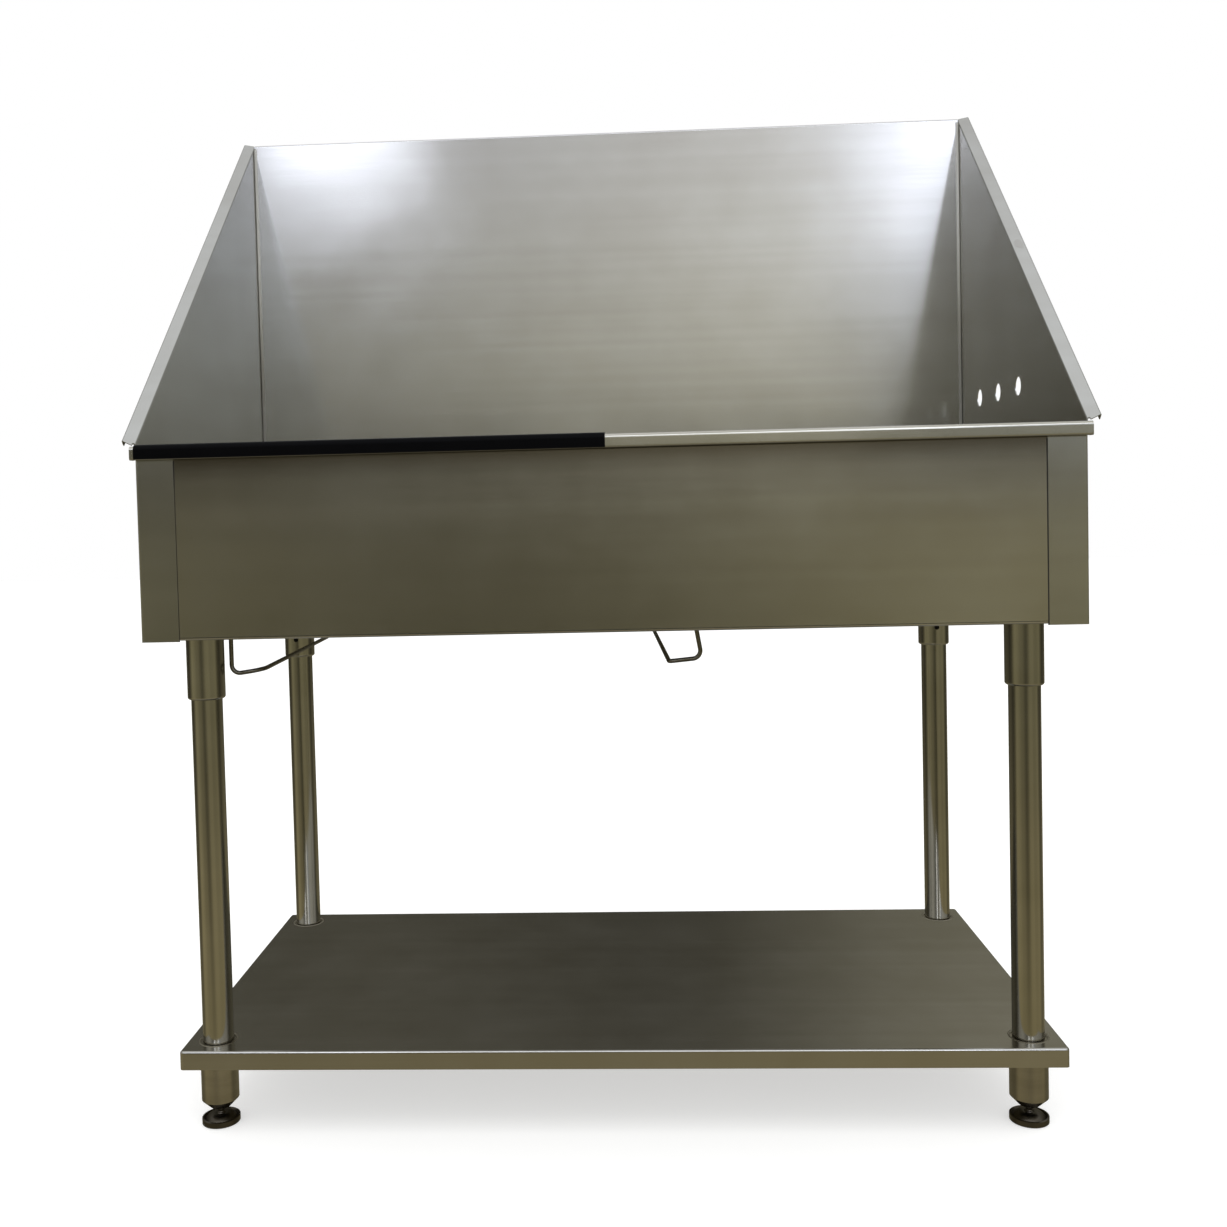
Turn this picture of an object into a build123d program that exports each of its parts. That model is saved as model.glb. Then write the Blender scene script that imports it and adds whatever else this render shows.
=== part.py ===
"""Free-standing stainless utility laundry sink with a tall splash back.

The frame: X runs from the sink's left to its right, Y from the front to the back and Z up.
The origin is on the floor, under the middle of the whole sink. All sizes are millimetres.
"""

import os
from math import atan2, cos, sin, sqrt, tan

from build123d import *

os.makedirs("parts", exist_ok=True)

# ---- driving dimensions: the sheet-metal bowl ----
SHEET = 1.5  # 16 gauge stainless
BODY_WIDTH = 1219.2  # outside of one side panel to the outside of the other
BODY_DEPTH = 597.6  # apron face to the rear face of the back panel
RIM_HEIGHT = 923.0  # top of the front rim above the floor
APRON_HEIGHT = 256.0  # rim top to the lowest edge of the apron
BACK_HEIGHT = 1477.0  # top of the splash back above the floor
CORNER_RETURN = 50.8  # how far each side panel wraps round onto the front
BEND = 2.6  # outside radius of a folded edge
SEAM = 0.5  # chamfer on both sides of the ground weld seams in the apron
BOTTOM_FOLD = 13.0  # stiffening fold along the lower edges
FRONT_FOLD_RISE = 1.5  # the front panel stops this much short of the side panels

# ---- side flanges, folded outwards along the slope ----
FLANGE_FOOT = 928.0  # height of the slope's top face at the apron
FLANGE_WIDTH = 19.0
FLANGE_LIP = 9.0
FLANGE_NOSE = 4.0  # how far the flange runs on past the apron face
FLANGE_FRONT_MITRE = 12.0
FLANGE_TOP_MITRE = 8.0
BACK_FLANGE = 19.0

# ---- front rim and its rubber trim ----
RIM_OUT = 12.0  # rim face in front of the apron face
RIM_LIP = 18.0
RIM_ROLL = 5.0  # outside radius of the rolled front edge
RIM_HEM = 6.0
RIM_INNER_LEG = 25.0
RIM_OVERHANG = 3.0  # rim end beyond the side panel
RIM_END_GAP = 0.3
TRIM_THICKNESS = 2.0
TRIM_LENGTH = 609.6
TRIM_START = 6.0  # trim's left end, in from the rim's end
TRIM_SHORT = 1.0  # bare steel left below the trim

# ---- basin floor and drain ----
BOWL_DEPTH = 203.2  # rim top to the floor's outer edge
FLOOR_FALL = 14.0  # fall of the creased floor to the drain
FLOOR_UPTURN = 22.0
FLOOR_COVE = 12.0
DRAIN_FLAT = 128.0  # flat square the drain sits on
DRAIN_FLANGE_RADIUS = 57.0
DRAIN_FLANGE_THICKNESS = 2.0
DRAIN_CUP_RADIUS = 44.0
DRAIN_CUP_DEPTH = 30.0
DRAIN_WALL = 1.6
DRAIN_HOLE_CLEARANCE = 1.2
OUTLET_RADIUS = 24.15  # 1-1/2 in pipe thread, outside
OUTLET_BORE = 20.5
OUTLET_LENGTH = 20.0
GASKET_THICKNESS = 2.5
WASHER_THICKNESS = 1.5
WASHER_INSET = 1.0
LOCKNUT_HEIGHT = 9.0
LOCKNUT_RADIUS = 53.0
LOCKNUT_LUG = 5.0
LOCKNUT_LUGS = 6
PUTTY_THICKNESS = 0.8
PUTTY_INSET = 1.5
FLANGE_TAPER = 4.0
FLANGE_EDGE = 0.6
BASKET_CLEARANCE = 1.5  # round the basket's lip
BASKET_RADIUS_BOTTOM = 30.0
BASKET_WALL = 1.0
BASKET_LIP = 2.0
BASKET_BELOW_FLANGE = 1.0
STOPPER_RADIUS = 27.0
STOPPER_THICKNESS = 3.0
STOPPER_CLEARANCE = 0.3
STOPPER_CHAMFER = 1.0
BASKET_HOLE = 2.6
BASKET_HOLE_RINGS = ((0.36, 6), (0.72, 12))  # share of the bottom radius, holes
KNOB_RADIUS = 7.0
KNOB_HEIGHT = 22.0
KNOB_STEM_RADIUS = 2.5
KNOB_HEAD = 4.0
KNOB_EDGE = 1.0

# ---- faucet holes in the right side panel ----
FAUCET_HOLE_RADIUS = 14.0
FAUCET_HOLES = 3
FAUCET_SPACING = 101.6  # 4 in centres
FAUCET_ABOVE_RIM = 70.0
FAUCET_BEHIND_APRON = 381.0  # middle hole

# ---- legs, sockets and under-basin channels ----
LEG_RADIUS = 20.64  # 1-5/8 in tube
LEG_WALL = 1.5
LEG_SIDE_INSET = 63.6  # leg axis in from the side panel's outside
LEG_INSET = 61.0  # front leg's axis behind the apron face
SOCKET_RADIUS = 25.0
SOCKET_CLEARANCE = 0.12
SOCKET_LENGTH = 106.5  # channel down to the lower lip
SOCKET_LIP = 3.6  # rounding of the lower lip
SOCKET_PLATE_WIDTH = 78.0
SOCKET_PLATE = 3.0
CHANNEL_WIDTH = 56.0
CHANNEL_DEPTH = 29.8  # floor's edge down to the channel's underside
SCREW_RADIUS = 4.0
SCREW_ABOVE_LIP = 30.5
SCREW_RECESS = 0.8
SCREW_HEX = 4.0  # across the flats

# ---- shelf ----
SHELF_HEIGHT = 114.0
SHELF_SHEET = 1.2
SHELF_EDGE = 25.0
SHELF_MARGIN = 41.0  # leg axis to the shelf's edge
SHELF_HEM = 11.0
SHELF_BEND = 3.0
SHELF_CORNER = 5.0
SHELF_HOLE_CLEARANCE = 2.2
STIFFENER_WIDTH = 60.0
STIFFENER_DROP = 18.0
STIFFENER_FLANGE = 14.0
STIFFENER_END_GAP = 40.0

# ---- adjustable feet ----
SLEEVE_RADIUS = 25.0
SLEEVE_STRAIGHT_END = 34.0  # height where the taper begins
SLEEVE_TIP = 23.0
SLEEVE_TIP_RADIUS = 14.0
LEG_SEAT = 44.0  # height of the shoulder that the leg stands on
STEM_RADIUS = 5.85
STEM_CLEARANCE = 0.15
STEM_TOP = 84.0
STEM_CHAMFER = 1.0
BALL_RADIUS = 7.5
BALL_HEIGHT = 8.6
BALL_NECK = 4.2
BALL_CLEARANCE = 0.35
NECK_LENGTH = 1.5
NECK_SHOULDER = 2.0
PAD_RADIUS = 25.5
PAD_RIM_HEIGHT = 9.0
PAD_DISH = 6.0
PAD_HUB_RADIUS = 9.0  # at its top
PAD_HUB_HEIGHT = 13.0
PAD_HUB_FLARE = 1.8  # how far the hub's side curves in from a straight cone
PAD_RIM_WIDTH = 4.0
PAD_EDGE = 0.8
PAD_LIFT = 1.2  # steel pad above the floor, carried by its tread
TREAD_THICKNESS = 3.2
TREAD_RADIUS = 23.0

# ---- bent rods under the basin ----
ROD_RADIUS = 3.0
ROD_BEND = 11.0
ROD_JOG = 43.6  # sideways run at the front, towards the sink's right or left
LEFT_ROD_DROP = 105.8  # front corner below the floor's edge
LEFT_ROD_CLIMB = 6.0  # how much its jog rises
LEFT_ROD_TURN = 20.0  # bend from the jog towards the back
LEFT_ROD_FRONT = 76.0  # behind the apron face
LEFT_ROD_BACK = 77.6  # in front of the back panel's rear face
LEFT_ROD_DRIFT = 15.0  # sideways over its run to the back
CENTRE_ROD_DROP = 98.4
CENTRE_ROD_CLIMB = 4.0
CENTRE_ROD_TURN = 5.0
CENTRE_ROD_FRONT = 70.0
CENTRE_ROD_BACK = 97.6
CENTRE_ROD_DRIFT = 11.0
CENTRE_ROD_X = 81.0
CENTRE_ROD_LEAN = 16.0  # its front leg's top stands this far inwards

# ---- places worked out from those ----
APRON_Y = -(BODY_DEPTH + BACK_FLANGE - RIM_OUT - TRIM_THICKNESS) / 2
BACK_Y = APRON_Y + BODY_DEPTH
APRON_BOTTOM = RIM_HEIGHT - APRON_HEIGHT
HALF_WIDTH = BODY_WIDTH / 2
INNER_HALF_WIDTH = HALF_WIDTH - SHEET
BASIN_MID_Y = (APRON_Y + BACK_Y) / 2
BASIN_LENGTH = BODY_WIDTH - 2 * SHEET
BASIN_BREADTH = BODY_DEPTH - 2 * SHEET
FLOOR_EDGE = RIM_HEIGHT - BOWL_DEPTH
FLOOR_LOW = FLOOR_EDGE - FLOOR_FALL
CHANNEL_FLOOR = FLOOR_EDGE - CHANNEL_DEPTH
SOCKET_FLOOR = CHANNEL_FLOOR - SOCKET_LENGTH
SCREW_HEIGHT = SOCKET_FLOOR + SCREW_ABOVE_LIP
LEG_X = HALF_WIDTH - LEG_SIDE_INSET
LEG_FRONT_Y = APRON_Y + LEG_INSET
LEG_BACK_Y = BACK_Y - SHELF_MARGIN
SHELF_UNDERSIDE = SHELF_HEIGHT - SHELF_SHEET
LEGS = {
    "front_left": (-LEG_X, LEG_FRONT_Y),
    "front_right": (LEG_X, LEG_FRONT_Y),
    "back_left": (-LEG_X, LEG_BACK_Y),
    "back_right": (LEG_X, LEG_BACK_Y),
}


def save(builder, name):
    """Label one finished piece and write it as its own file."""
    builder.part.label = name
    export_step(builder.part, f"parts/{name}.step")


def folded_section(points, radii, thickness):
    """Section of a folded sheet: one skin follows the points, the other lies to their left.

    The radii are the first skin's, one for each bend.
    """
    corners = [Vector(*point) for point in points]
    runs = [(end - start).normalized() for start, end in zip(corners, corners[1:])]
    across = [Vector(-run.Y, run.X) * thickness for run in runs]
    far_corners = [corners[0] + across[0]]
    far_radii = []
    for corner, before, after, radius in zip(corners[1:], across, across[1:], radii):
        far_corners.append(corner + (before + after) / (1 + before.dot(after) / thickness**2))
        turns_left = before.cross(after).Z > 0
        far_radii.append(radius - thickness if turns_left else radius + thickness)
    far_corners.append(corners[-1] + across[-1])
    with BuildSketch() as section:
        with BuildLine():
            near_skin = FilletPolyline(*corners, radius=radii)
            far_skin = FilletPolyline(*far_corners, radius=far_radii)
            Line(near_skin @ 0, far_skin @ 0)
            Line(near_skin @ 1, far_skin @ 1)
        make_face()
    return section.sketch


# ---- side panels ----
SLOPE = atan2(BACK_HEIGHT - FLANGE_FOOT, BODY_DEPTH)
SLOPE_LENGTH = sqrt(BODY_DEPTH**2 + (BACK_HEIGHT - FLANGE_FOOT) ** 2)
ALONG_SLOPE = Vector(0, cos(SLOPE), sin(SLOPE))
OFF_SLOPE = Vector(0, -sin(SLOPE), cos(SLOPE))
BEND_DROP = BEND / cos(SLOPE)


def build_side_panel():
    """The right side panel without its holes: wall, corner return, sloping flange and bottom fold."""
    slope_foot = Vector(INNER_HALF_WIDTH, APRON_Y, FLANGE_FOOT)
    slope_head = slope_foot + ALONG_SLOPE * (SLOPE_LENGTH + FLANGE_TOP_MITRE)
    flange_run = SLOPE_LENGTH + FLANGE_TOP_MITRE + FLANGE_NOSE
    with BuildPart() as panel:
        # wall and corner return, up to the rim
        corner = [
            (HALF_WIDTH - CORNER_RETURN, APRON_Y),
            (HALF_WIDTH, APRON_Y),
            (HALF_WIDTH, BACK_Y),
        ]
        with BuildSketch(Plane.XY.offset(APRON_BOTTOM)):
            add(folded_section(corner, [BEND], SHEET))
        extrude(amount=APRON_HEIGHT - BEND)
        seam = panel.edges().filter_by(Axis.Z).group_by(Axis.X)[0].sort_by(Axis.Y)[0]
        chamfer(seam, SEAM)
        # wall above the rim, under the slope
        with BuildSketch(Plane.YZ.offset(INNER_HALF_WIDTH)):
            Polygon(
                (APRON_Y + BEND, RIM_HEIGHT - 2 * SHEET),
                (APRON_Y + BEND, FLANGE_FOOT + BEND * tan(SLOPE) - BEND_DROP),
                (BACK_Y, BACK_HEIGHT - BEND_DROP),
                (BACK_Y, RIM_HEIGHT - 2 * SHEET),
                align=None,
            )
        extrude(amount=SHEET)
        # flange folded outwards and its lip folded down
        flange = [
            (FLANGE_WIDTH + SHEET, -FLANGE_LIP),
            (FLANGE_WIDTH + SHEET, 0),
            (0, 0),
            (0, -BEND * 2),
        ]
        with BuildSketch(Plane(slope_head, x_dir=(1, 0, 0), z_dir=-ALONG_SLOPE)):
            add(folded_section(flange, [BEND, BEND], SHEET))
        extrude(amount=flange_run)
        # both ends of the flange are cut on the skew
        outer = FLANGE_WIDTH + SHEET + BEND
        with BuildSketch(Plane(slope_foot, x_dir=(1, 0, 0), z_dir=OFF_SLOPE)):
            Polygon(
                (SHEET + BEND, -2 * FLANGE_NOSE),
                (SHEET + BEND, -FLANGE_NOSE),
                (outer, FLANGE_FRONT_MITRE - FLANGE_NOSE),
                (outer, -2 * FLANGE_NOSE),
                align=None,
            )
            Polygon(
                (-outer, SLOPE_LENGTH),
                (SHEET, SLOPE_LENGTH),
                (outer, SLOPE_LENGTH + FLANGE_TOP_MITRE),
                (outer, SLOPE_LENGTH + 3 * FLANGE_TOP_MITRE),
                (-outer, SLOPE_LENGTH + 3 * FLANGE_TOP_MITRE),
                align=None,
            )
        extrude(amount=2 * FLANGE_LIP, both=True, mode=Mode.SUBTRACT)
        # nothing of the flange's root stands in front of the apron
        with BuildSketch(Plane.XY.offset(RIM_HEIGHT - 2 * SHEET)):
            with Locations((HALF_WIDTH - SHEET, APRON_Y)):
                Rectangle(SHEET + BEND, 3 * FLANGE_NOSE, align=(Align.MIN, Align.MAX))
        extrude(amount=3 * FLANGE_LIP, mode=Mode.SUBTRACT)
        # stiffening fold along the bottom
        with BuildSketch(Plane.XY.offset(APRON_BOTTOM)):
            with Locations((HALF_WIDTH - SHEET / 2, APRON_Y + SHEET)):
                Rectangle(
                    BOTTOM_FOLD,
                    BODY_DEPTH - 2 * SHEET - BOTTOM_FOLD,
                    align=(Align.MAX, Align.MIN),
                )
        extrude(amount=SHEET)
    return panel


side_blank = build_side_panel()

FAUCET_Y = APRON_Y + FAUCET_BEHIND_APRON
FAUCET_Z = RIM_HEIGHT + FAUCET_ABOVE_RIM

with BuildPart() as right_side_panel:
    add(side_blank.part)
    middle_hole = Plane((HALF_WIDTH, FAUCET_Y, FAUCET_Z), x_dir=(0, 1, 0), z_dir=(1, 0, 0))
    with Locations(middle_hole):
        with GridLocations(FAUCET_SPACING, 0, FAUCET_HOLES, 1):
            Hole(FAUCET_HOLE_RADIUS, depth=2 * SHEET)
save(right_side_panel, "right_side_panel")

with BuildPart() as left_side_panel:
    mirror(side_blank.part, about=Plane.YZ)
save(left_side_panel, "left_side_panel")

# ---- back panel: one sheet, folded forward at the bottom and back at the top ----
with BuildPart() as back_panel:
    front_face = BACK_Y - SHEET
    outline = [
        (BACK_Y + BACK_FLANGE, BACK_HEIGHT - FLANGE_LIP),
        (BACK_Y + BACK_FLANGE, BACK_HEIGHT),
        (front_face, BACK_HEIGHT),
        (front_face, APRON_BOTTOM + SHEET),
        (front_face - BOTTOM_FOLD, APRON_BOTTOM + SHEET),
    ]
    with BuildSketch(Plane.YZ.offset(-INNER_HALF_WIDTH)):
        add(folded_section(outline, [BEND, BEND, BEND - SHEET], SHEET))
    extrude(amount=2 * INNER_HALF_WIDTH)
save(back_panel, "back_panel")

# ---- front panel between the two corner returns ----
FRONT_HALF_WIDTH = HALF_WIDTH - CORNER_RETURN

with BuildPart() as front_panel:
    lower_edge = APRON_BOTTOM + FRONT_FOLD_RISE
    outline = [
        (APRON_Y, RIM_HEIGHT - BEND),
        (APRON_Y, lower_edge),
        (APRON_Y + BOTTOM_FOLD, lower_edge),
    ]
    with BuildSketch(Plane.YZ.offset(-FRONT_HALF_WIDTH)):
        add(folded_section(outline, [BEND], SHEET))
    extrude(amount=2 * FRONT_HALF_WIDTH)
    seams = front_panel.edges().filter_by(Axis.Z).group_by(Axis.Y)[0]
    chamfer(seams, SEAM)
save(front_panel, "front_panel")

# ---- front rim: a J-shaped strip over the top of the apron, with closed ends ----
RIM_HALF_LENGTH = HALF_WIDTH + RIM_OVERHANG

with BuildPart() as front_rim:
    rim_front = APRON_Y - RIM_OUT
    rim_back = APRON_Y + 2 * SHEET
    outline = [
        (rim_back, RIM_HEIGHT - RIM_INNER_LEG),
        (rim_back, RIM_HEIGHT),
        (rim_front, RIM_HEIGHT),
        (rim_front, RIM_HEIGHT - RIM_LIP),
        (rim_front + RIM_HEM, RIM_HEIGHT - RIM_LIP),
    ]
    with BuildSketch(Plane.YZ.offset(-RIM_HALF_LENGTH)):
        add(folded_section(outline, [BEND, RIM_ROLL, BEND], SHEET))
    extrude(amount=2 * RIM_HALF_LENGTH)
    # the side panels rise past the rim's ends, so its back part stops between them
    for end, inward in ((-1, Align.MAX), (1, Align.MIN)):
        with BuildSketch(Plane.XY.offset(RIM_HEIGHT)):
            with Locations((end * (HALF_WIDTH - BEND), APRON_Y - RIM_END_GAP)):
                Rectangle(RIM_OVERHANG + BEND, RIM_OUT, align=(inward, Align.MIN))
        extrude(amount=-RIM_INNER_LEG, mode=Mode.SUBTRACT)
    # end plates in front of the apron
    for end in (-1, 1):
        with BuildSketch(Plane.YZ.offset(end * (RIM_HALF_LENGTH - SHEET / 2))):
            with Locations((rim_front, RIM_HEIGHT)):
                Rectangle(RIM_OUT - RIM_END_GAP, RIM_LIP, align=(Align.MIN, Align.MAX))
            fillet(vertices().group_by(Axis.Y)[-1].sort_by(Axis.X)[0], RIM_ROLL)
            fillet(vertices().group_by(Axis.Y)[0].sort_by(Axis.X)[0], BEND)
        extrude(amount=SHEET / 2, both=True)
save(front_rim, "front_rim")

# ---- rubber edge trim on the left half of the rim ----
with BuildPart() as rim_edge_trim:
    outline = [
        (rim_front, RIM_HEIGHT - RIM_LIP + TRIM_SHORT),
        (rim_front, RIM_HEIGHT),
        (APRON_Y, RIM_HEIGHT),
    ]
    with BuildSketch(Plane.YZ.offset(TRIM_START - RIM_HALF_LENGTH)):
        add(folded_section(outline, [RIM_ROLL], TRIM_THICKNESS))
    extrude(amount=TRIM_LENGTH)
save(rim_edge_trim, "rim_edge_trim")

# ---- basin floor: coved edges and four creases falling to the drain ----
PAN_INSET = FLOOR_COVE + SHEET
FLOOR_CORNER_CUT = (BEND - SHEET) * sqrt(2)

with BuildPart() as floor_form:
    with BuildSketch(Plane.XY.offset(FLOOR_EDGE - SHEET)):
        with Locations((0, BASIN_MID_Y)):
            Rectangle(BASIN_LENGTH, BASIN_BREADTH)
    extrude(amount=FLOOR_UPTURN + SHEET)
    fillet(floor_form.edges().group_by(Axis.Z)[0], FLOOR_COVE + SHEET)
    with BuildSketch(Plane.XY.offset(FLOOR_EDGE - SHEET)) as pan_top:
        with Locations((0, BASIN_MID_Y)):
            Rectangle(BASIN_LENGTH - 2 * PAN_INSET, BASIN_BREADTH - 2 * PAN_INSET)
    with BuildSketch(Plane.XY.offset(FLOOR_LOW - SHEET)) as pan_low:
        with Locations((0, BASIN_MID_Y)):
            Rectangle(DRAIN_FLAT, DRAIN_FLAT)
    loft()
    # the corners at the front clear the folds of the side panels
    with BuildSketch(Plane.XY.offset(FLOOR_EDGE - SHEET)):
        with Locations(
            (-INNER_HALF_WIDTH, APRON_Y + SHEET),
            (INNER_HALF_WIDTH, APRON_Y + SHEET),
        ):
            Rectangle(FLOOR_CORNER_CUT, FLOOR_CORNER_CUT, rotation=45)
    extrude(amount=FLOOR_UPTURN + SHEET, mode=Mode.SUBTRACT)

with BuildPart() as basin_hollow:
    with BuildSketch(Plane.XY.offset(FLOOR_EDGE)):
        with Locations((0, BASIN_MID_Y)):
            Rectangle(BASIN_LENGTH - 2 * SHEET, BASIN_BREADTH - 2 * SHEET)
    extrude(amount=FLOOR_UPTURN)
    fillet(basin_hollow.edges().group_by(Axis.Z)[0], FLOOR_COVE)
    with BuildSketch(Plane.XY.offset(FLOOR_EDGE)):
        with Locations((0, BASIN_MID_Y)):
            Rectangle(BASIN_LENGTH - 2 * PAN_INSET, BASIN_BREADTH - 2 * PAN_INSET)
    with BuildSketch(Plane.XY.offset(FLOOR_LOW)):
        with Locations((0, BASIN_MID_Y)):
            Rectangle(DRAIN_FLAT, DRAIN_FLAT)
    loft()

with BuildPart() as basin_floor:
    add(floor_form.part)
    add(basin_hollow.part, mode=Mode.SUBTRACT)
    with Locations((0, BASIN_MID_Y, FLOOR_LOW)):
        Hole(DRAIN_CUP_RADIUS + DRAIN_WALL + DRAIN_HOLE_CLEARANCE, depth=2 * SHEET)
save(basin_floor, "basin_floor")


def revolved(profile):
    """Turn a closed profile of (radius, height) points about the drain's axis."""
    with BuildPart() as piece:
        with BuildSketch(Plane.XZ.offset(-BASIN_MID_Y)):
            with BuildLine():
                Polyline(*profile, close=True)
            make_face()
        revolve(axis=Axis((0, BASIN_MID_Y, 0), (0, 0, 1)))
    return piece


# ---- drain: strainer body, gasket, washer and locknut ----
DRAIN_SEAT = FLOOR_LOW + PUTTY_THICKNESS
CUP_FLOOR = DRAIN_SEAT - DRAIN_CUP_DEPTH
OUTLET_END = CUP_FLOOR - DRAIN_WALL - OUTLET_LENGTH
FLOOR_BELOW = FLOOR_LOW - SHEET

drain_body = revolved(
    [
        (DRAIN_CUP_RADIUS, DRAIN_SEAT + DRAIN_FLANGE_THICKNESS),
        (DRAIN_FLANGE_RADIUS - FLANGE_TAPER, DRAIN_SEAT + DRAIN_FLANGE_THICKNESS),
        (DRAIN_FLANGE_RADIUS, DRAIN_SEAT + FLANGE_EDGE),
        (DRAIN_FLANGE_RADIUS, DRAIN_SEAT),
        (DRAIN_CUP_RADIUS + DRAIN_WALL, DRAIN_SEAT),
        (DRAIN_CUP_RADIUS + DRAIN_WALL, CUP_FLOOR - DRAIN_WALL),
        (OUTLET_RADIUS, CUP_FLOOR - DRAIN_WALL),
        (OUTLET_RADIUS, OUTLET_END),
        (OUTLET_BORE, OUTLET_END),
        (OUTLET_BORE, CUP_FLOOR),
        (DRAIN_CUP_RADIUS, CUP_FLOOR),
    ]
)
save(drain_body, "drain_body")

sealing_bore = DRAIN_CUP_RADIUS + DRAIN_WALL
drain_putty_ring = revolved(
    [
        (DRAIN_FLANGE_RADIUS - PUTTY_INSET, DRAIN_SEAT),
        (DRAIN_FLANGE_RADIUS - PUTTY_INSET, FLOOR_LOW),
        (sealing_bore + DRAIN_HOLE_CLEARANCE, FLOOR_LOW),
        (sealing_bore + DRAIN_HOLE_CLEARANCE, DRAIN_SEAT),
    ]
)
save(drain_putty_ring, "drain_putty_ring")

drain_gasket = revolved(
    [
        (sealing_bore, FLOOR_BELOW),
        (DRAIN_FLANGE_RADIUS, FLOOR_BELOW),
        (DRAIN_FLANGE_RADIUS, FLOOR_BELOW - GASKET_THICKNESS),
        (sealing_bore, FLOOR_BELOW - GASKET_THICKNESS),
    ]
)
save(drain_gasket, "drain_gasket")

washer_top = FLOOR_BELOW - GASKET_THICKNESS
drain_washer = revolved(
    [
        (sealing_bore, washer_top),
        (DRAIN_FLANGE_RADIUS - WASHER_INSET, washer_top),
        (DRAIN_FLANGE_RADIUS - WASHER_INSET, washer_top - WASHER_THICKNESS),
        (sealing_bore, washer_top - WASHER_THICKNESS),
    ]
)
save(drain_washer, "drain_washer")

locknut_top = washer_top - WASHER_THICKNESS
with BuildPart() as drain_locknut:
    with BuildSketch(Plane.XY.offset(locknut_top)):
        with Locations((0, BASIN_MID_Y)):
            Circle(LOCKNUT_RADIUS)
            with PolarLocations(LOCKNUT_RADIUS, LOCKNUT_LUGS):
                Rectangle(2 * LOCKNUT_LUG, 2 * LOCKNUT_LUG)
            Circle(sealing_bore, mode=Mode.SUBTRACT)
    extrude(amount=-LOCKNUT_HEIGHT)
save(drain_locknut, "drain_locknut")

# ---- lift-out strainer basket with its knob ----
BASKET_TOP = DRAIN_SEAT + DRAIN_FLANGE_THICKNESS - BASKET_BELOW_FLANGE
BASKET_FLOOR = CUP_FLOOR + STOPPER_CLEARANCE + STOPPER_THICKNESS
BASKET_RADIUS_TOP = DRAIN_CUP_RADIUS - BASKET_CLEARANCE

with BuildPart() as strainer_basket:
    with BuildSketch(Plane.XZ.offset(-BASIN_MID_Y)):
        with BuildLine():
            Polyline(
                (0, BASKET_FLOOR),
                (BASKET_RADIUS_BOTTOM, BASKET_FLOOR),
                (BASKET_RADIUS_TOP - BASKET_LIP, BASKET_TOP - BASKET_WALL),
                (BASKET_RADIUS_TOP, BASKET_TOP - BASKET_WALL),
                (BASKET_RADIUS_TOP, BASKET_TOP),
                (BASKET_RADIUS_TOP - BASKET_LIP - BASKET_WALL, BASKET_TOP),
                (BASKET_RADIUS_BOTTOM - BASKET_WALL, BASKET_FLOOR + BASKET_WALL),
                (0, BASKET_FLOOR + BASKET_WALL),
                close=True,
            )
        make_face()
    revolve(axis=Axis((0, BASIN_MID_Y, 0), (0, 0, 1)))
    for share, holes in BASKET_HOLE_RINGS:
        with Locations((0, BASIN_MID_Y, BASKET_FLOOR + BASKET_WALL)):
            with PolarLocations(share * BASKET_RADIUS_BOTTOM, holes):
                Hole(BASKET_HOLE, depth=2 * BASKET_WALL)
save(strainer_basket, "strainer_basket")

strainer_stopper = revolved(
    [
        (0, BASKET_FLOOR),
        (STOPPER_RADIUS, BASKET_FLOOR),
        (STOPPER_RADIUS, BASKET_FLOOR - STOPPER_THICKNESS + STOPPER_CHAMFER),
        (STOPPER_RADIUS - STOPPER_CHAMFER, BASKET_FLOOR - STOPPER_THICKNESS),
        (0, BASKET_FLOOR - STOPPER_THICKNESS),
    ]
)
save(strainer_stopper, "strainer_stopper")

strainer_knob = revolved(
    [
        (0, BASKET_FLOOR + BASKET_WALL),
        (KNOB_STEM_RADIUS, BASKET_FLOOR + BASKET_WALL),
        (KNOB_STEM_RADIUS, BASKET_FLOOR + KNOB_HEIGHT - 1.5 * KNOB_HEAD),
        (KNOB_RADIUS, BASKET_FLOOR + KNOB_HEIGHT - KNOB_HEAD),
        (KNOB_RADIUS, BASKET_FLOOR + KNOB_HEIGHT - KNOB_EDGE),
        (KNOB_RADIUS - KNOB_EDGE, BASKET_FLOOR + KNOB_HEIGHT),
        (0, BASKET_FLOOR + KNOB_HEIGHT),
    ]
)
save(strainer_knob, "strainer_knob")

# ---- channels under the floor, one over each pair of legs ----
for side_name, side_sign in (("left", -1), ("right", 1)):
    with BuildPart() as channel:
        with BuildSketch(Plane.XZ.offset(-(APRON_Y + SHEET))):
            with Locations((side_sign * LEG_X, CHANNEL_FLOOR)):
                Rectangle(
                    CHANNEL_WIDTH, FLOOR_EDGE - CHANNEL_FLOOR, align=(Align.CENTER, Align.MIN)
                )
            fillet(vertices().group_by(Axis.Y)[0], BEND)
            with Locations((side_sign * LEG_X, CHANNEL_FLOOR + SHEET)):
                Rectangle(
                    CHANNEL_WIDTH - 2 * SHEET,
                    FLOOR_EDGE - CHANNEL_FLOOR,
                    align=(Align.CENTER, Align.MIN),
                    mode=Mode.SUBTRACT,
                )
        extrude(amount=-BASIN_BREADTH)
        add(floor_form.part, mode=Mode.SUBTRACT)
    save(channel, f"{side_name}_channel")

# ---- leg sockets, their set screws, and the legs ----
SOCKET_BORE = LEG_RADIUS + SOCKET_CLEARANCE
SOCKET_CEILING = CHANNEL_FLOOR - SOCKET_PLATE

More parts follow.
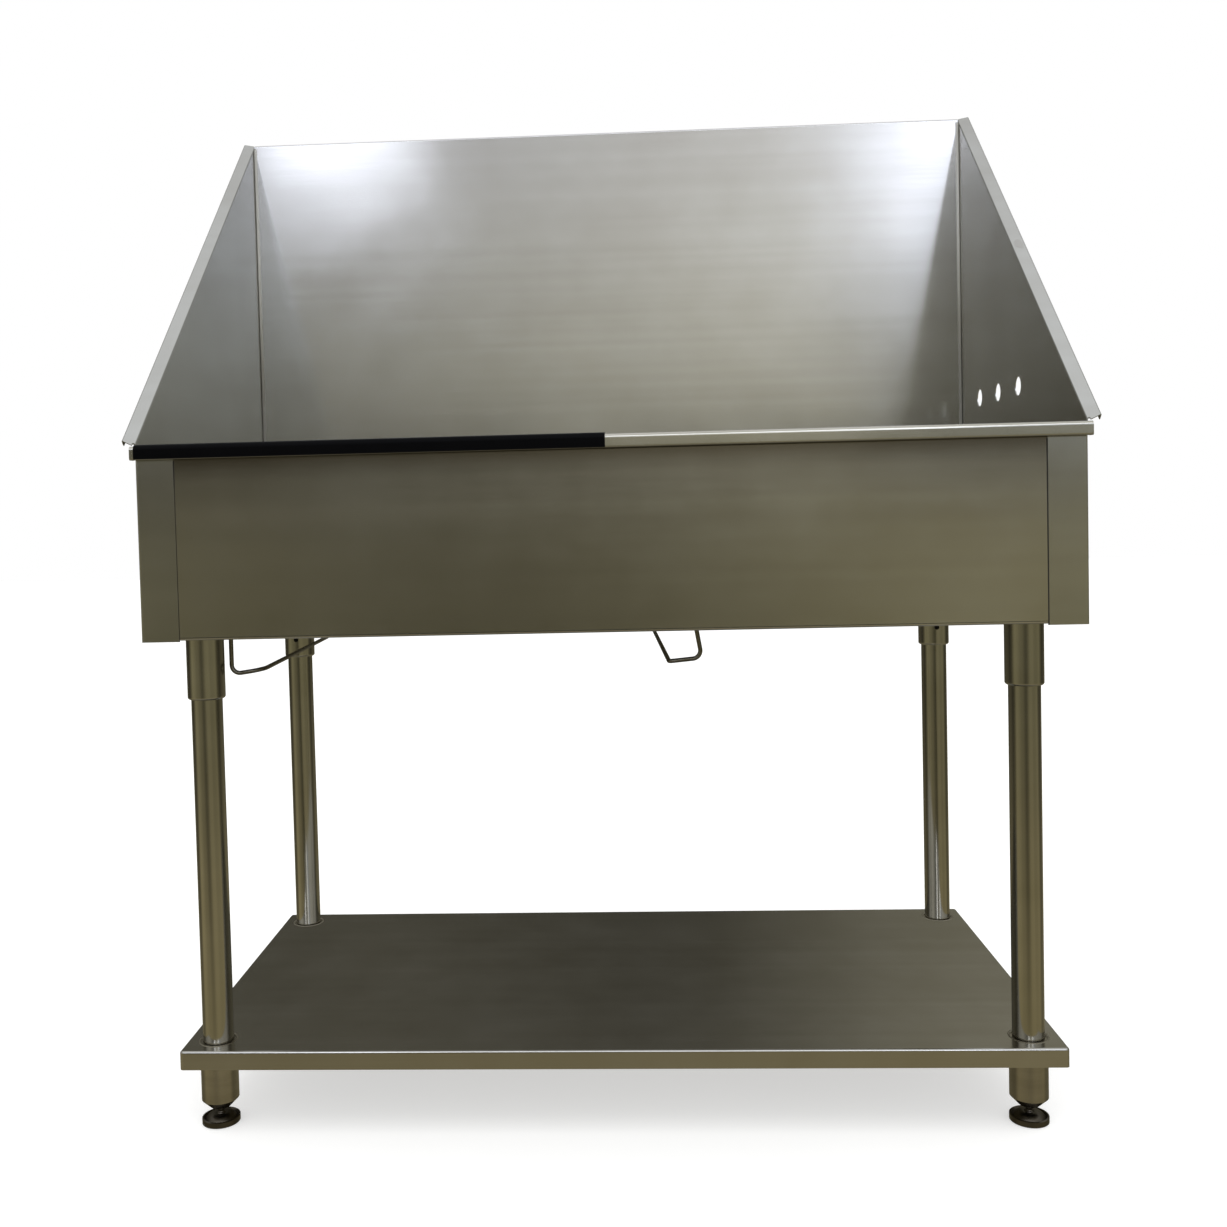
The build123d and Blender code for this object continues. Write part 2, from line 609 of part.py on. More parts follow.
screw_solids = []
for place, (leg_x, leg_y) in LEGS.items():
    inward = 1 if leg_y < BASIN_MID_Y else -1
    screw_face = Plane(
        origin=(leg_x, leg_y + inward * SOCKET_RADIUS, SCREW_HEIGHT), z_dir=(0, inward, 0)
    )
    with BuildPart() as leg_socket:
        with BuildSketch(Plane.XY.offset(SOCKET_FLOOR)):
            with Locations((leg_x, leg_y)):
                Circle(SOCKET_RADIUS)
        extrude(amount=CHANNEL_FLOOR - SOCKET_FLOOR)
        fillet(leg_socket.edges().group_by(Axis.Z)[0], SOCKET_LIP)
        with BuildSketch(Plane.XY.offset(CHANNEL_FLOOR)):
            with Locations((leg_x, leg_y)):
                RectangleRounded(CHANNEL_WIDTH, SOCKET_PLATE_WIDTH, SOCKET_LIP)
        extrude(amount=-SOCKET_PLATE)
        with BuildSketch(Plane.XY.offset(SOCKET_FLOOR)):
            with Locations((leg_x, leg_y)):
                Circle(SOCKET_BORE)
        extrude(amount=SOCKET_CEILING - SOCKET_FLOOR, mode=Mode.SUBTRACT)
        with Locations(screw_face):
            Hole(SCREW_RADIUS, depth=SOCKET_RADIUS - SOCKET_BORE / 2)
    save(leg_socket, f"leg_socket_{place}")

    with BuildPart() as set_screw:
        tip = leg_y + inward * LEG_RADIUS
        length = SOCKET_RADIUS - LEG_RADIUS - SCREW_RECESS
        with BuildSketch(Plane(origin=(leg_x, tip, SCREW_HEIGHT), z_dir=(0, inward, 0))):
            Circle(SCREW_RADIUS)
        extrude(amount=length)
        with BuildSketch(
            Plane(origin=(leg_x, tip + inward * length, SCREW_HEIGHT), z_dir=(0, inward, 0))
        ):
            RegularPolygon(SCREW_HEX / 2, 6, major_radius=False)
        extrude(amount=-length / 2, mode=Mode.SUBTRACT)
    screw_solids.append(set_screw.part)

    with BuildPart() as leg:
        with BuildSketch(Plane.XY.offset(LEG_SEAT)):
            with Locations((leg_x, leg_y)):
                Circle(LEG_RADIUS)
                Circle(LEG_RADIUS - LEG_WALL, mode=Mode.SUBTRACT)
        extrude(amount=SOCKET_CEILING - LEG_SEAT)
    save(leg, f"leg_{place}")

with BuildPart() as socket_set_screws:
    for solid in screw_solids:
        add(solid)
save(socket_set_screws, "socket_set_screws")

# ---- shelf: an upside-down pan with folded hems, and its stiffener ----
SHELF_FRONT = LEG_FRONT_Y - SHELF_MARGIN
SHELF_BREADTH = LEG_BACK_Y - LEG_FRONT_Y + 2 * SHELF_MARGIN
SHELF_LENGTH = 2 * (LEG_X + SHELF_MARGIN)
SHELF_MID_Y = SHELF_FRONT + SHELF_BREADTH / 2
SHELF_BOTTOM = SHELF_HEIGHT - SHELF_EDGE

with BuildPart() as shelf:
    with BuildSketch(Plane.XY.offset(SHELF_BOTTOM)):
        with Locations((0, SHELF_MID_Y)):
            RectangleRounded(SHELF_LENGTH, SHELF_BREADTH, SHELF_CORNER)
    extrude(amount=SHELF_EDGE)
    fillet(shelf.edges().group_by(Axis.Z)[-1], SHELF_BEND)
    with BuildSketch(Plane.XY.offset(SHELF_BOTTOM + SHELF_SHEET)):
        with Locations((0, SHELF_MID_Y)):
            RectangleRounded(
                SHELF_LENGTH - 2 * SHELF_SHEET,
                SHELF_BREADTH - 2 * SHELF_SHEET,
                SHELF_CORNER - SHELF_SHEET,
            )
    extrude(amount=SHELF_EDGE - 2 * SHELF_SHEET, mode=Mode.SUBTRACT)
    with BuildSketch(Plane.XY.offset(SHELF_BOTTOM)):
        with Locations((0, SHELF_MID_Y)):
            Rectangle(SHELF_LENGTH - 2 * SHELF_HEM, SHELF_BREADTH - 2 * SHELF_HEM)
    extrude(amount=SHELF_SHEET, mode=Mode.SUBTRACT)
    with BuildSketch(Plane.XY.offset(SHELF_HEIGHT)):
        with Locations(*LEGS.values()):
            Circle(LEG_RADIUS + SHELF_HOLE_CLEARANCE)
    extrude(amount=-2 * SHELF_SHEET, mode=Mode.SUBTRACT)
save(shelf, "shelf")

with BuildPart() as shelf_stiffener:
    half = STIFFENER_WIDTH / 2
    low = SHELF_UNDERSIDE - STIFFENER_DROP
    outline = [
        (SHELF_MID_Y + half + STIFFENER_FLANGE, SHELF_UNDERSIDE),
        (SHELF_MID_Y + half, SHELF_UNDERSIDE),
        (SHELF_MID_Y + half, low),
        (SHELF_MID_Y - half, low),
        (SHELF_MID_Y - half, SHELF_UNDERSIDE),
        (SHELF_MID_Y - half - STIFFENER_FLANGE, SHELF_UNDERSIDE),
    ]
    bends = [SHELF_BEND, SHELF_BEND - SHELF_SHEET, SHELF_BEND - SHELF_SHEET, SHELF_BEND]
    stiffener_length = SHELF_LENGTH - 2 * STIFFENER_END_GAP
    with BuildSketch(Plane.YZ.offset(-stiffener_length / 2)):
        add(folded_section(outline, bends, SHELF_SHEET))
    extrude(amount=stiffener_length)
save(shelf_stiffener, "shelf_stiffener")

# ---- adjustable feet: sleeve, threaded stem, swivel pad and rubber tread ----
for place, (leg_x, leg_y) in LEGS.items():
    leg_plane = Plane(origin=(leg_x, leg_y, 0), x_dir=(1, 0, 0), z_dir=(0, -1, 0))
    leg_axis = Axis((leg_x, leg_y, 0), (0, 0, 1))

    with BuildPart() as foot_sleeve:
        with BuildSketch(leg_plane):
            with BuildLine():
                Polyline(
                    (SOCKET_BORE, SHELF_UNDERSIDE),
                    (SLEEVE_RADIUS, SHELF_UNDERSIDE),
                    (SLEEVE_RADIUS, SLEEVE_STRAIGHT_END),
                    (SLEEVE_TIP_RADIUS, SLEEVE_TIP),
                    (STEM_RADIUS + STEM_CLEARANCE, SLEEVE_TIP),
                    (STEM_RADIUS + STEM_CLEARANCE, LEG_SEAT),
                    (SOCKET_BORE, LEG_SEAT),
                    close=True,
                )
            make_face()
        revolve(axis=leg_axis)
    save(foot_sleeve, f"foot_sleeve_{place}")

    with BuildPart() as foot_stem:
        ball_meets_neck = BALL_HEIGHT + sqrt(BALL_RADIUS**2 - BALL_NECK**2)
        with BuildSketch(leg_plane):
            with BuildLine():
                ThreePointArc(
                    (0, BALL_HEIGHT - BALL_RADIUS),
                    (BALL_RADIUS, BALL_HEIGHT),
                    (BALL_NECK, ball_meets_neck),
                )
                Polyline(
                    (BALL_NECK, ball_meets_neck),
                    (BALL_NECK, ball_meets_neck + NECK_LENGTH),
                    (STEM_RADIUS, ball_meets_neck + NECK_LENGTH + NECK_SHOULDER),
                    (STEM_RADIUS, STEM_TOP - STEM_CHAMFER),
                    (STEM_RADIUS - STEM_CHAMFER, STEM_TOP),
                    (0, STEM_TOP),
                    (0, BALL_HEIGHT - BALL_RADIUS),
                )
            make_face()
        revolve(axis=leg_axis)
    save(foot_stem, f"foot_stem_{place}")

    with BuildPart() as foot_pad:
        socket_radius = BALL_RADIUS + BALL_CLEARANCE
        mouth = sqrt(socket_radius**2 - (PAD_HUB_HEIGHT - BALL_HEIGHT) ** 2)
        base = TREAD_THICKNESS
        foot_of_socket = sqrt(socket_radius**2 - (BALL_HEIGHT - base) ** 2)
        hub_top = Vector(PAD_HUB_RADIUS, PAD_HUB_HEIGHT)
        dish_edge = Vector(PAD_RADIUS - PAD_RIM_WIDTH, PAD_DISH)
        with BuildSketch(leg_plane):
            with BuildLine():
                Line((mouth, PAD_HUB_HEIGHT), hub_top)
                SagittaArc(hub_top, dish_edge, PAD_HUB_FLARE)
                Polyline(
                    dish_edge,
                    (PAD_RADIUS - PAD_RIM_WIDTH / 2, PAD_RIM_HEIGHT),
                    (PAD_RADIUS, PAD_RIM_HEIGHT - PAD_EDGE),
                    (PAD_RADIUS, PAD_LIFT),
                    (TREAD_RADIUS, PAD_LIFT),
                    (TREAD_RADIUS, base),
                    (foot_of_socket, base),
                )
                ThreePointArc(
                    (foot_of_socket, base),
                    (socket_radius, BALL_HEIGHT),
                    (mouth, PAD_HUB_HEIGHT),
                )
            make_face()
        revolve(axis=leg_axis)
    save(foot_pad, f"foot_pad_{place}")

    with BuildPart() as foot_tread:
        with BuildSketch():
            with Locations((leg_x, leg_y)):
                Circle(TREAD_RADIUS)
                Circle(BALL_RADIUS, mode=Mode.SUBTRACT)
        extrude(amount=TREAD_THICKNESS)
    save(foot_tread, f"foot_tread_{place}")


# ---- bent rods under the basin, trimmed where they meet the floor ----
def build_rod(points, radii):
    """A round rod along filleted straight runs, cut off where it is welded to the floor."""
    with BuildPart() as rod:
        with BuildLine() as route:
            FilletPolyline(*points, radius=radii)
        with BuildSketch(Plane(origin=route.line @ 0, z_dir=route.line % 0)):
            Circle(ROD_RADIUS)
        sweep()
        add(floor_form.part, mode=Mode.SUBTRACT)
    return rod


rod_x = -LEG_X + CHANNEL_WIDTH / 2 + ROD_RADIUS
turn_x = rod_x + ROD_JOG
rod_front = APRON_Y + LEFT_ROD_FRONT
rod_back = BACK_Y - LEFT_ROD_BACK
rod_low = FLOOR_EDGE - LEFT_ROD_DROP
left_hanger_rod = build_rod(
    [
        (rod_x, rod_front, FLOOR_EDGE),
        (rod_x, rod_front, rod_low),
        (turn_x, rod_front, rod_low + LEFT_ROD_CLIMB),
        (turn_x - LEFT_ROD_DRIFT, rod_back, rod_low + LEFT_ROD_CLIMB),
        (turn_x - LEFT_ROD_DRIFT, rod_back, FLOOR_EDGE),
    ],
    [ROD_BEND, LEFT_ROD_TURN, ROD_BEND],
)
save(left_hanger_rod, "left_hanger_rod")

jog_x = CENTRE_ROD_X + ROD_JOG
jog_y = APRON_Y + CENTRE_ROD_FRONT
end_y = BACK_Y - CENTRE_ROD_BACK
run_z = FLOOR_EDGE - CENTRE_ROD_DROP
centre_hanger_rod = build_rod(
    [
        (jog_x - CENTRE_ROD_LEAN, jog_y, FLOOR_EDGE),
        (jog_x, jog_y, run_z + CENTRE_ROD_CLIMB),
        (CENTRE_ROD_X, jog_y, run_z),
        (CENTRE_ROD_X - CENTRE_ROD_DRIFT, end_y, run_z),
        (CENTRE_ROD_X - CENTRE_ROD_DRIFT, end_y, FLOOR_EDGE),
    ],
    [ROD_BEND, CENTRE_ROD_TURN, ROD_BEND],
)
save(centre_hanger_rod, "centre_hanger_rod")
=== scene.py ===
"""Finishes for a free-standing stainless laundry sink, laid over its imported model."""

from math import cos, pi, radians, sin, sqrt

import bmesh
import bpy
from mathutils import Matrix, Vector


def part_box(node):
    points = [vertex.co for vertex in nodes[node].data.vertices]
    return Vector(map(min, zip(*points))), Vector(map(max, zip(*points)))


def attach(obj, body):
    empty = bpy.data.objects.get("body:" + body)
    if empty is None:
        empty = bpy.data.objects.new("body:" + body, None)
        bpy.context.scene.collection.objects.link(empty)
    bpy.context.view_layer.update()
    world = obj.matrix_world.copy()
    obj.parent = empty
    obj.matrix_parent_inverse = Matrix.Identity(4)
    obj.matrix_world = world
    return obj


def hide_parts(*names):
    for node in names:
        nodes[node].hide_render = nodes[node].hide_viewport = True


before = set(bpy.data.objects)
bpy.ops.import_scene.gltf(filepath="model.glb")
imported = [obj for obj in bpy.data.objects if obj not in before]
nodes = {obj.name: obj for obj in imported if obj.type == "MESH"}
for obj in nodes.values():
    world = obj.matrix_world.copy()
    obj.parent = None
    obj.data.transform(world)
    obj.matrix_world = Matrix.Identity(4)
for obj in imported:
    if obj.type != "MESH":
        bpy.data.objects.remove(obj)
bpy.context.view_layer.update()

MM = 0.001
CORNERS = ("front_left", "front_right", "back_left", "back_right")
SIDES = (("left", -1), ("right", 1))


# ---------------------------------------------------------------- materials
def srgb(code):
    """An sRGB hex value as the linear colour that shaders want."""
    channels = [int(code[i : i + 2], 16) / 255 for i in (1, 3, 5)]
    linear = [c / 12.92 if c <= 0.04045 else ((c + 0.055) / 1.055) ** 2.4 for c in channels]
    return (*linear, 1.0)


def add_node(tree, kind, inputs=None, stops=(), **settings):
    """Adds one node.

    inputs are values or sockets to link, stops are the places and colours along a
    colour ramp, and settings are the node's own options.
    """
    node = tree.nodes.new(kind)
    for name, value in settings.items():
        setattr(node, name, value)
    for socket, value in (inputs or {}).items():
        if isinstance(value, bpy.types.NodeSocket):
            tree.links.new(value, node.inputs[socket])
        else:
            node.inputs[socket].default_value = value
    if stops:
        along = node.color_ramp.elements
        while len(along) < len(stops):
            along.new(0.5)
        for stop, (position, colour) in zip(along, stops):
            stop.position = position
            stop.color = colour
    return node


def new_material(name):
    """An empty node material with its output and its shader."""
    material = bpy.data.materials.new(name)
    material.use_nodes = True
    tree = material.node_tree
    tree.nodes.clear()
    output = add_node(tree, "ShaderNodeOutputMaterial")
    shader = add_node(tree, "ShaderNodeBsdfPrincipled")
    tree.links.new(shader.outputs["BSDF"], output.inputs["Surface"])
    return material, tree, shader


BAND_TO_LINE = 25  # how much wider one pass of the belt is than one line
CLOUD_SIZE = 120 * MM  # cloudy patches, where hands and cloths have been
CLOUDS_IN_TONE = 0.6
CLOUDS_IN_GLOSS = 0.45
TONE_FROM, TONE_TO = 0.32, 0.68  # the noise values between which the colour changes
WEAR_FROM, WEAR_TO = 0.35, 0.65
GLOSS_SPREAD = 0.12  # share by which the roughness varies
SWAY_SIZE = 260 * MM
SWAY_HEIGHT = 3.0 * MM
LINE_DEPTH = 0.02 * MM
SHADE_COLOUR = "#4A3D22"  # painted shade: a brown tone that the steel's colour is mixed towards where it is shaded


def brushed_stainless(name, scale_mm, across_lines, pale, dull, roughness, stretch, strip=()):
    """Type 304 stainless, brushed, polished, drawn or turned.

    The eye gets fine lines, reflections drawn out across them and faint cloudy patches.
    scale_mm is the size of the lines along X, Y and Z. The real ones are about 0.1 mm
    wide; these are coarser so that they show. across_lines is the way light is drawn out,
    and stretch is how far. strip lists heights, each with the share of colour left by painted
    shade.
    """
    material, tree, shader = new_material(name)
    where = add_node(tree, "ShaderNodeTexCoord").outputs["Object"]
    lines_at = add_node(
        tree,
        "ShaderNodeMapping",
        {"Vector": where, "Scale": [1 / (size * MM) for size in scale_mm]},
    )
    lines = add_node(
        tree,
        "ShaderNodeTexNoise",
        {"Vector": lines_at.outputs["Vector"], "Scale": 1.0, "Detail": 3.0, "Roughness": 0.6},
    )
    # bands left by the belt's passes, 20 mm wide on the sheets
    bands_at = add_node(
        tree,
        "ShaderNodeMapping",
        {"Vector": where, "Scale": [1 / (size * BAND_TO_LINE * MM) for size in scale_mm]},
    )
    bands = add_node(
        tree,
        "ShaderNodeTexNoise",
        {"Vector": bands_at.outputs["Vector"], "Scale": 1.0, "Detail": 2.0},
    )
    clouds = add_node(
        tree,
        "ShaderNodeTexNoise",
        {"Vector": where, "Scale": 1 / CLOUD_SIZE, "Detail": 3.0, "Roughness": 0.55},
    )
    mixed = add_node(
        tree,
        "ShaderNodeMix",
        {"Factor": CLOUDS_IN_TONE, "A": bands.outputs["Fac"], "B": clouds.outputs["Fac"]},
        data_type="FLOAT",
    )
    tone = add_node(
        tree,
        "ShaderNodeMapRange",
        {"Value": mixed.outputs["Result"], "From Min": TONE_FROM, "From Max": TONE_TO},
    )
    colour = add_node(
        tree,
        "ShaderNodeMix",
        {"Factor": tone.outputs["Result"], "A": srgb(dull), "B": srgb(pale)},
        data_type="RGBA",
    )
    # painted shade: by height, as strip lists, the colour is mixed towards a brown tone
    if strip:
        low, high = strip[0][0], strip[-1][0]
        heights = add_node(tree, "ShaderNodeSeparateXYZ", {"Vector": where})
        span = add_node(
            tree,
            "ShaderNodeMapRange",
            {"Value": heights.outputs["Z"], "From Min": low, "From Max": high},
        )
        unshaded = add_node(
            tree,
            "ShaderNodeValToRGB",
            {"Fac": span.outputs["Result"]},
            [((height - low) / (high - low), (share, share, share, 1.0))
             for height, share in strip],
        )
        colour = add_node(
            tree,
            "ShaderNodeMix",
            {"Factor": unshaded.outputs["Color"], "A": srgb(SHADE_COLOUR), "B": colour.outputs["Result"]},
            data_type="RGBA",
        )
    # the lines and the cloudy patches both change how sharply the steel mirrors
    wear = add_node(
        tree,
        "ShaderNodeMix",
        {"Factor": CLOUDS_IN_GLOSS, "A": lines.outputs["Fac"], "B": clouds.outputs["Fac"]},
        data_type="FLOAT",
    )
    rough = add_node(
        tree,
        "ShaderNodeMapRange",
        {
            "Value": wear.outputs["Result"],
            "From Min": WEAR_FROM,
            "From Max": WEAR_TO,
            "To Min": roughness * (1 - GLOSS_SPREAD),
            "To Max": roughness * (1 + GLOSS_SPREAD),
        },
    )
    # sheet is never quite flat: a slow wave, a few tenths of a millimetre to a millimetre
    sway = add_node(
        tree,
        "ShaderNodeTexNoise",
        {"Vector": where, "Scale": 1 / SWAY_SIZE, "Detail": 1.0},
    )
    wave = add_node(
        tree,
        "ShaderNodeBump",
        {"Height": sway.outputs["Fac"], "Strength": 0.4, "Distance": SWAY_HEIGHT},
    )
    grooves = add_node(
        tree,
        "ShaderNodeBump",
        {
            "Height": lines.outputs["Fac"],
            "Normal": wave.outputs["Normal"],
            "Strength": 0.1,
            "Distance": LINE_DEPTH,
        },
    )
    drawn_out = add_node(tree, "ShaderNodeCombineXYZ", dict(zip("XYZ", across_lines)))
    tree.links.new(colour.outputs["Result"], shader.inputs["Base Color"])
    tree.links.new(rough.outputs["Result"], shader.inputs["Roughness"])
    tree.links.new(grooves.outputs["Normal"], shader.inputs["Normal"])
    tree.links.new(drawn_out.outputs["Vector"], shader.inputs["Tangent"])
    shader.inputs["Metallic"].default_value = 1.0
    shader.inputs["Anisotropic"].default_value = stretch
    return material


# No. 4 brushed sheet: on the back and the floor the lines run from side to side
sheet_across = brushed_stainless(
    "brushed_304_sheet_across", (70, 0.8, 0.8), (0.0, 0.6, 1.0), "#BFBEBA", "#B5B3AE", 0.16, 0.35
)
# the apron is brushed the same way, with painted shade in a strip under its rim: heights
# in metres, each with the share of colour that the painted shade leaves
SHADE_UNDER_RIM = ((0.835, 1.0), (0.872, 0.8), (0.888, 0.54), (0.9, 0.3), (0.91, 0.24))
apron_sheet = brushed_stainless(
    "brushed_304_apron", (70, 0.8, 0.8), (0.0, 0.6, 1.0), "#BFBDB4", "#B5B2A8", 0.16, 0.35,
    SHADE_UNDER_RIM,
)
# the rim is formed from the same sheet and handled more, so it is a little duller
rim_sheet = brushed_stainless(
    "brushed_304_rim", (70, 0.8, 0.8), (0.0, 0.6, 1.0), "#BFBCB1", "#B2AFA2", 0.17, 0.35
)
# the side panels' lines are level too, and turn the corner onto the front; painted shade
# darkens them towards the top of the slope
SHADE_UP_THE_SLOPE = ((1.0, 1.0), (1.2, 0.93), (1.35, 0.84), (1.47, 0.8))
sheet_fore_aft = brushed_stainless(
    "brushed_304_side_sheet", (70, 70, 0.8), (0.0, 0.0, 1.0), "#BBBBB6", "#B1B0AA", 0.16, 0.35,
    SHADE_UP_THE_SLOPE,
)
# the shelf is thinner, duller sheet
shelf_sheet = brushed_stainless(
    "brushed_304_shelf_sheet", (80, 0.8, 0.8), (0.0, 0.6, 1.0), "#B4B2AC", "#A7A49B", 0.17, 0.35
)
# tube polished along its length: the brightest stripes are upright
leg_tube = brushed_stainless(
    "polished_304_tube", (0.9, 0.9, 120), (1.0, 1.0, 0.0), "#B4B1A6", "#A19E91", 0.15, 0.2
)
# welds dressed with a flap wheel, which leaves them satin: pale, with no clear reflection
dressed_weld = brushed_stainless(
    "dressed_304_weld", (0.5, 0.5, 30), (1.0, 1.0, 0.0), "#D2D1CA", "#C0BEB5", 0.6, 0.0
)
# a weld ground flush with a disc, a little darker than the sheet round it
ground_weld = brushed_stainless(
    "ground_304_weld", (1.2, 9, 9), (1.0, 0.0, 0.0), "#B4B2AC", "#A3A19B", 0.2, 0.1
)
# turned sleeves: fine rings round them, and a softer gloss than the tube's
foot_metal = brushed_stainless(
    "turned_304_foot", (8, 8, 0.5), (0.0, 0.0, 1.0), "#ACA79B", "#918C7F", 0.24, 0.2
)
# the feet's pads and stems: dull, and darkened to a brown as painted shade under the shelf
shaded_pad_metal = brushed_stainless(
    "dull_304_pad_painted_shade", (8, 8, 0.5), (0.0, 0.0, 1.0), "#635D51", "#4B463F", 0.32, 0.2
)
# pressed and polished strainer parts, the brightest of all
drain_metal = brushed_stainless(
    "polished_304_pressing", (9, 9, 0.6), (0.0, 0.0, 1.0), "#C9C8C4", "#BBBAB4", 0.14, 0.2
)
# drawn rod, darker than the sheet, with drawing marks along it
rod_metal = brushed_stainless(
    "drawn_304_rod", (0.6, 40, 0.6), (1.0, 0.0, 1.0), "#807C70", "#656155", 0.26, 0.3
)


DUST_SIZE = 40 * MM
RUBBER_SPREAD = 0.08  # by which rubber's roughness varies with the dust on it


def rubber(name, tint, worn, roughness, grain_mm, grain_height):
    """Black rubber: nearly black, with a soft dull sheen and a fine grain."""
    material, tree, shader = new_material(name)
    where = add_node(tree, "ShaderNodeTexCoord").outputs["Object"]
    grain = add_node(
        tree,
        "ShaderNodeTexNoise",
        {"Vector": where, "Scale": 1 / (grain_mm * MM), "Detail": 4.0},
    )
    dust = add_node(
        tree,
        "ShaderNodeTexNoise",
        {"Vector": where, "Scale": 1 / DUST_SIZE, "Detail": 3.0},
    )
    colour = add_node(
        tree,
        "ShaderNodeMix",
        {"Factor": dust.outputs["Fac"], "A": srgb(tint), "B": srgb(worn)},
        data_type="RGBA",
    )
    rough = add_node(
        tree,
        "ShaderNodeMapRange",
        {
            "Value": dust.outputs["Fac"],
            "To Min": roughness - RUBBER_SPREAD,
            "To Max": roughness + RUBBER_SPREAD,
        },
    )
    surface = add_node(
        tree,
        "ShaderNodeBump",
        {"Height": grain.outputs["Fac"], "Strength": 0.4, "Distance": grain_height * MM},
    )
    tree.links.new(colour.outputs["Result"], shader.inputs["Base Color"])
    tree.links.new(rough.outputs["Result"], shader.inputs["Roughness"])
    tree.links.new(surface.outputs["Normal"], shader.inputs["Normal"])
    shader.inputs["Specular IOR Level"].default_value = 0.05
    return material


# extruded EPDM: deep black that hardly mirrors anything
trim_rubber = rubber("epdm_rubber_edge_trim", "#010102", "#030304", 0.5, 0.7, 0.05)
# moulded rubber of the stopper and the gasket: charcoal and dull
seal_rubber = rubber("moulded_rubber_seal", "#101012", "#1A1A1C", 0.6, 0.5, 0.05)
# moulded rubber that stands on floors: scuffed a little greyer, with a coarser skin
tread_rubber = rubber("moulded_rubber_tread", "#131311", "#20201D", 0.7, 0.5, 0.1)


def matte_solid(name, light, dark, metallic, roughness, grain_mm, grain_height):
    """A dull material with a mottled colour and a fine grain."""
    material, tree, shader = new_material(name)
    where = add_node(tree, "ShaderNodeTexCoord").outputs["Object"]
    grain = add_node(
        tree,
        "ShaderNodeTexNoise",
        {"Vector": where, "Scale": 1 / (grain_mm * MM), "Detail": 4.0},
    )
    colour = add_node(
        tree,
        "ShaderNodeMix",
        {"Factor": grain.outputs["Fac"], "A": srgb(dark), "B": srgb(light)},
        data_type="RGBA",
    )
    surface = add_node(
        tree,
        "ShaderNodeBump",
        {"Height": grain.outputs["Fac"], "Strength": 0.5, "Distance": grain_height * MM},
    )
    tree.links.new(colour.outputs["Result"], shader.inputs["Base Color"])
    tree.links.new(surface.outputs["Normal"], shader.inputs["Normal"])
    shader.inputs["Metallic"].default_value = metallic
    shader.inputs["Roughness"].default_value = roughness
    return material


# sand-cast brass: warm and yellow, with a grainy, half-dull skin
cast_brass = matte_solid("cast_brass_locknut", "#B89B5E", "#8A7142", 1.0, 0.42, 1.5, 0.08)
# pressed fibre: brown and quite matt
pressed_fibre = matte_solid("pressed_fibre_washer", "#7A5B3E", "#59402A", 0.0, 0.8, 0.8, 0.05)
# plumber's putty: buff and chalky, with soft lumps
putty = matte_solid("plumbers_putty", "#CFC4A8", "#B5A98C", 0.0, 0.75, 4.0, 0.2)
# blackened steel: nearly black, with a low oily gloss
black_oxide = matte_solid("black_oxide_screw", "#2A2A2B", "#141415", 1.0, 0.45, 0.6, 0.02)
# dirt from grinding, packed in a seam: a dark matt line; also painted shade along the apron's
# bottom fold
seam_dirt_and_fold_shade = matte_solid("grinding_dirt_and_painted_fold_shade", "#1D1A12", "#0E0C08", 0.0, 0.8, 3.0, 0.05)
# painted shade beside a weld: a dark grey band that still mirrors a little
painted_weld_shade = matte_solid("painted_weld_shade_beside_weld", "#4C4A44", "#2F2D28", 1.0, 0.45, 6.0, 0.0)
# TIG weld as it was laid: greyish straw, half bright on its ripples
weld_metal = matte_solid("tig_weld_304", "#A39D8C", "#6E6757", 1.0, 0.36, 1.2, 0.06)

finishes = {
    "back_panel": sheet_across,
    "front_panel": apron_sheet,
    "front_rim": rim_sheet,
    "basin_floor": sheet_across,
    "left_side_panel": sheet_fore_aft,
    "right_side_panel": sheet_fore_aft,
    "left_channel": sheet_fore_aft,
    "right_channel": sheet_fore_aft,
    "rim_edge_trim": trim_rubber,
    "drain_body": drain_metal,
    "strainer_basket": drain_metal,
    "strainer_knob": drain_metal,
    "strainer_stopper": seal_rubber,
    "drain_gasket": seal_rubber,
    "drain_putty_ring": putty,
    "drain_washer": pressed_fibre,
    "drain_locknut": cast_brass,
    "socket_set_screws": black_oxide,
    "shelf": shelf_sheet,
    "shelf_stiffener": shelf_sheet,
    "left_hanger_rod": rod_metal,
    "centre_hanger_rod": rod_metal,
}
for corner in CORNERS:
    finishes["leg_" + corner] = leg_tube
    finishes["leg_socket_" + corner] = leg_tube
    finishes["foot_sleeve_" + corner] = foot_metal
    finishes["foot_pad_" + corner] = shaded_pad_metal
    finishes["foot_stem_" + corner] = shaded_pad_metal
    finishes["foot_tread_" + corner] = tread_rubber
for corner in ("back_left", "back_right"):
    # the shelf would mirror these as bright streaks
    nodes["leg_" + corner].visible_glossy = False
for name, node in nodes.items():
    for place in node.material_slots:
        place.material = finishes[name]


# ------------------------------------------------------------ making a piece
def join_rings(form, rings):
    """Faces from each ring of points to the next; all rings have equally many."""
    for low, high in zip(rings, rings[1:]):
        for k in range(len(low)):
            after = (k + 1) % len(low)
            form.faces.new((low[k], low[after], high[after], high[k]))


def add_piece(name, form, material, body="sink_frame"):
    """Turns a finished form into a piece that rides on a body."""
    mesh = bpy.data.meshes.new(name)
    form.to_mesh(mesh)
    form.free()
    mesh.materials.append(material)
    piece = bpy.data.objects.new(name, mesh)
    bpy.context.scene.collection.objects.link(piece)
    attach(piece, body)
    return piece


# ------------------------------------------------------------ threaded stems
def leg_axis(corner, height=0.0):
    """The point of a leg's axis at a height above the floor."""
    low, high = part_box("foot_stem_" + corner)
    middle = (low + high) / 2
    return Vector((middle.x, middle.y, height))


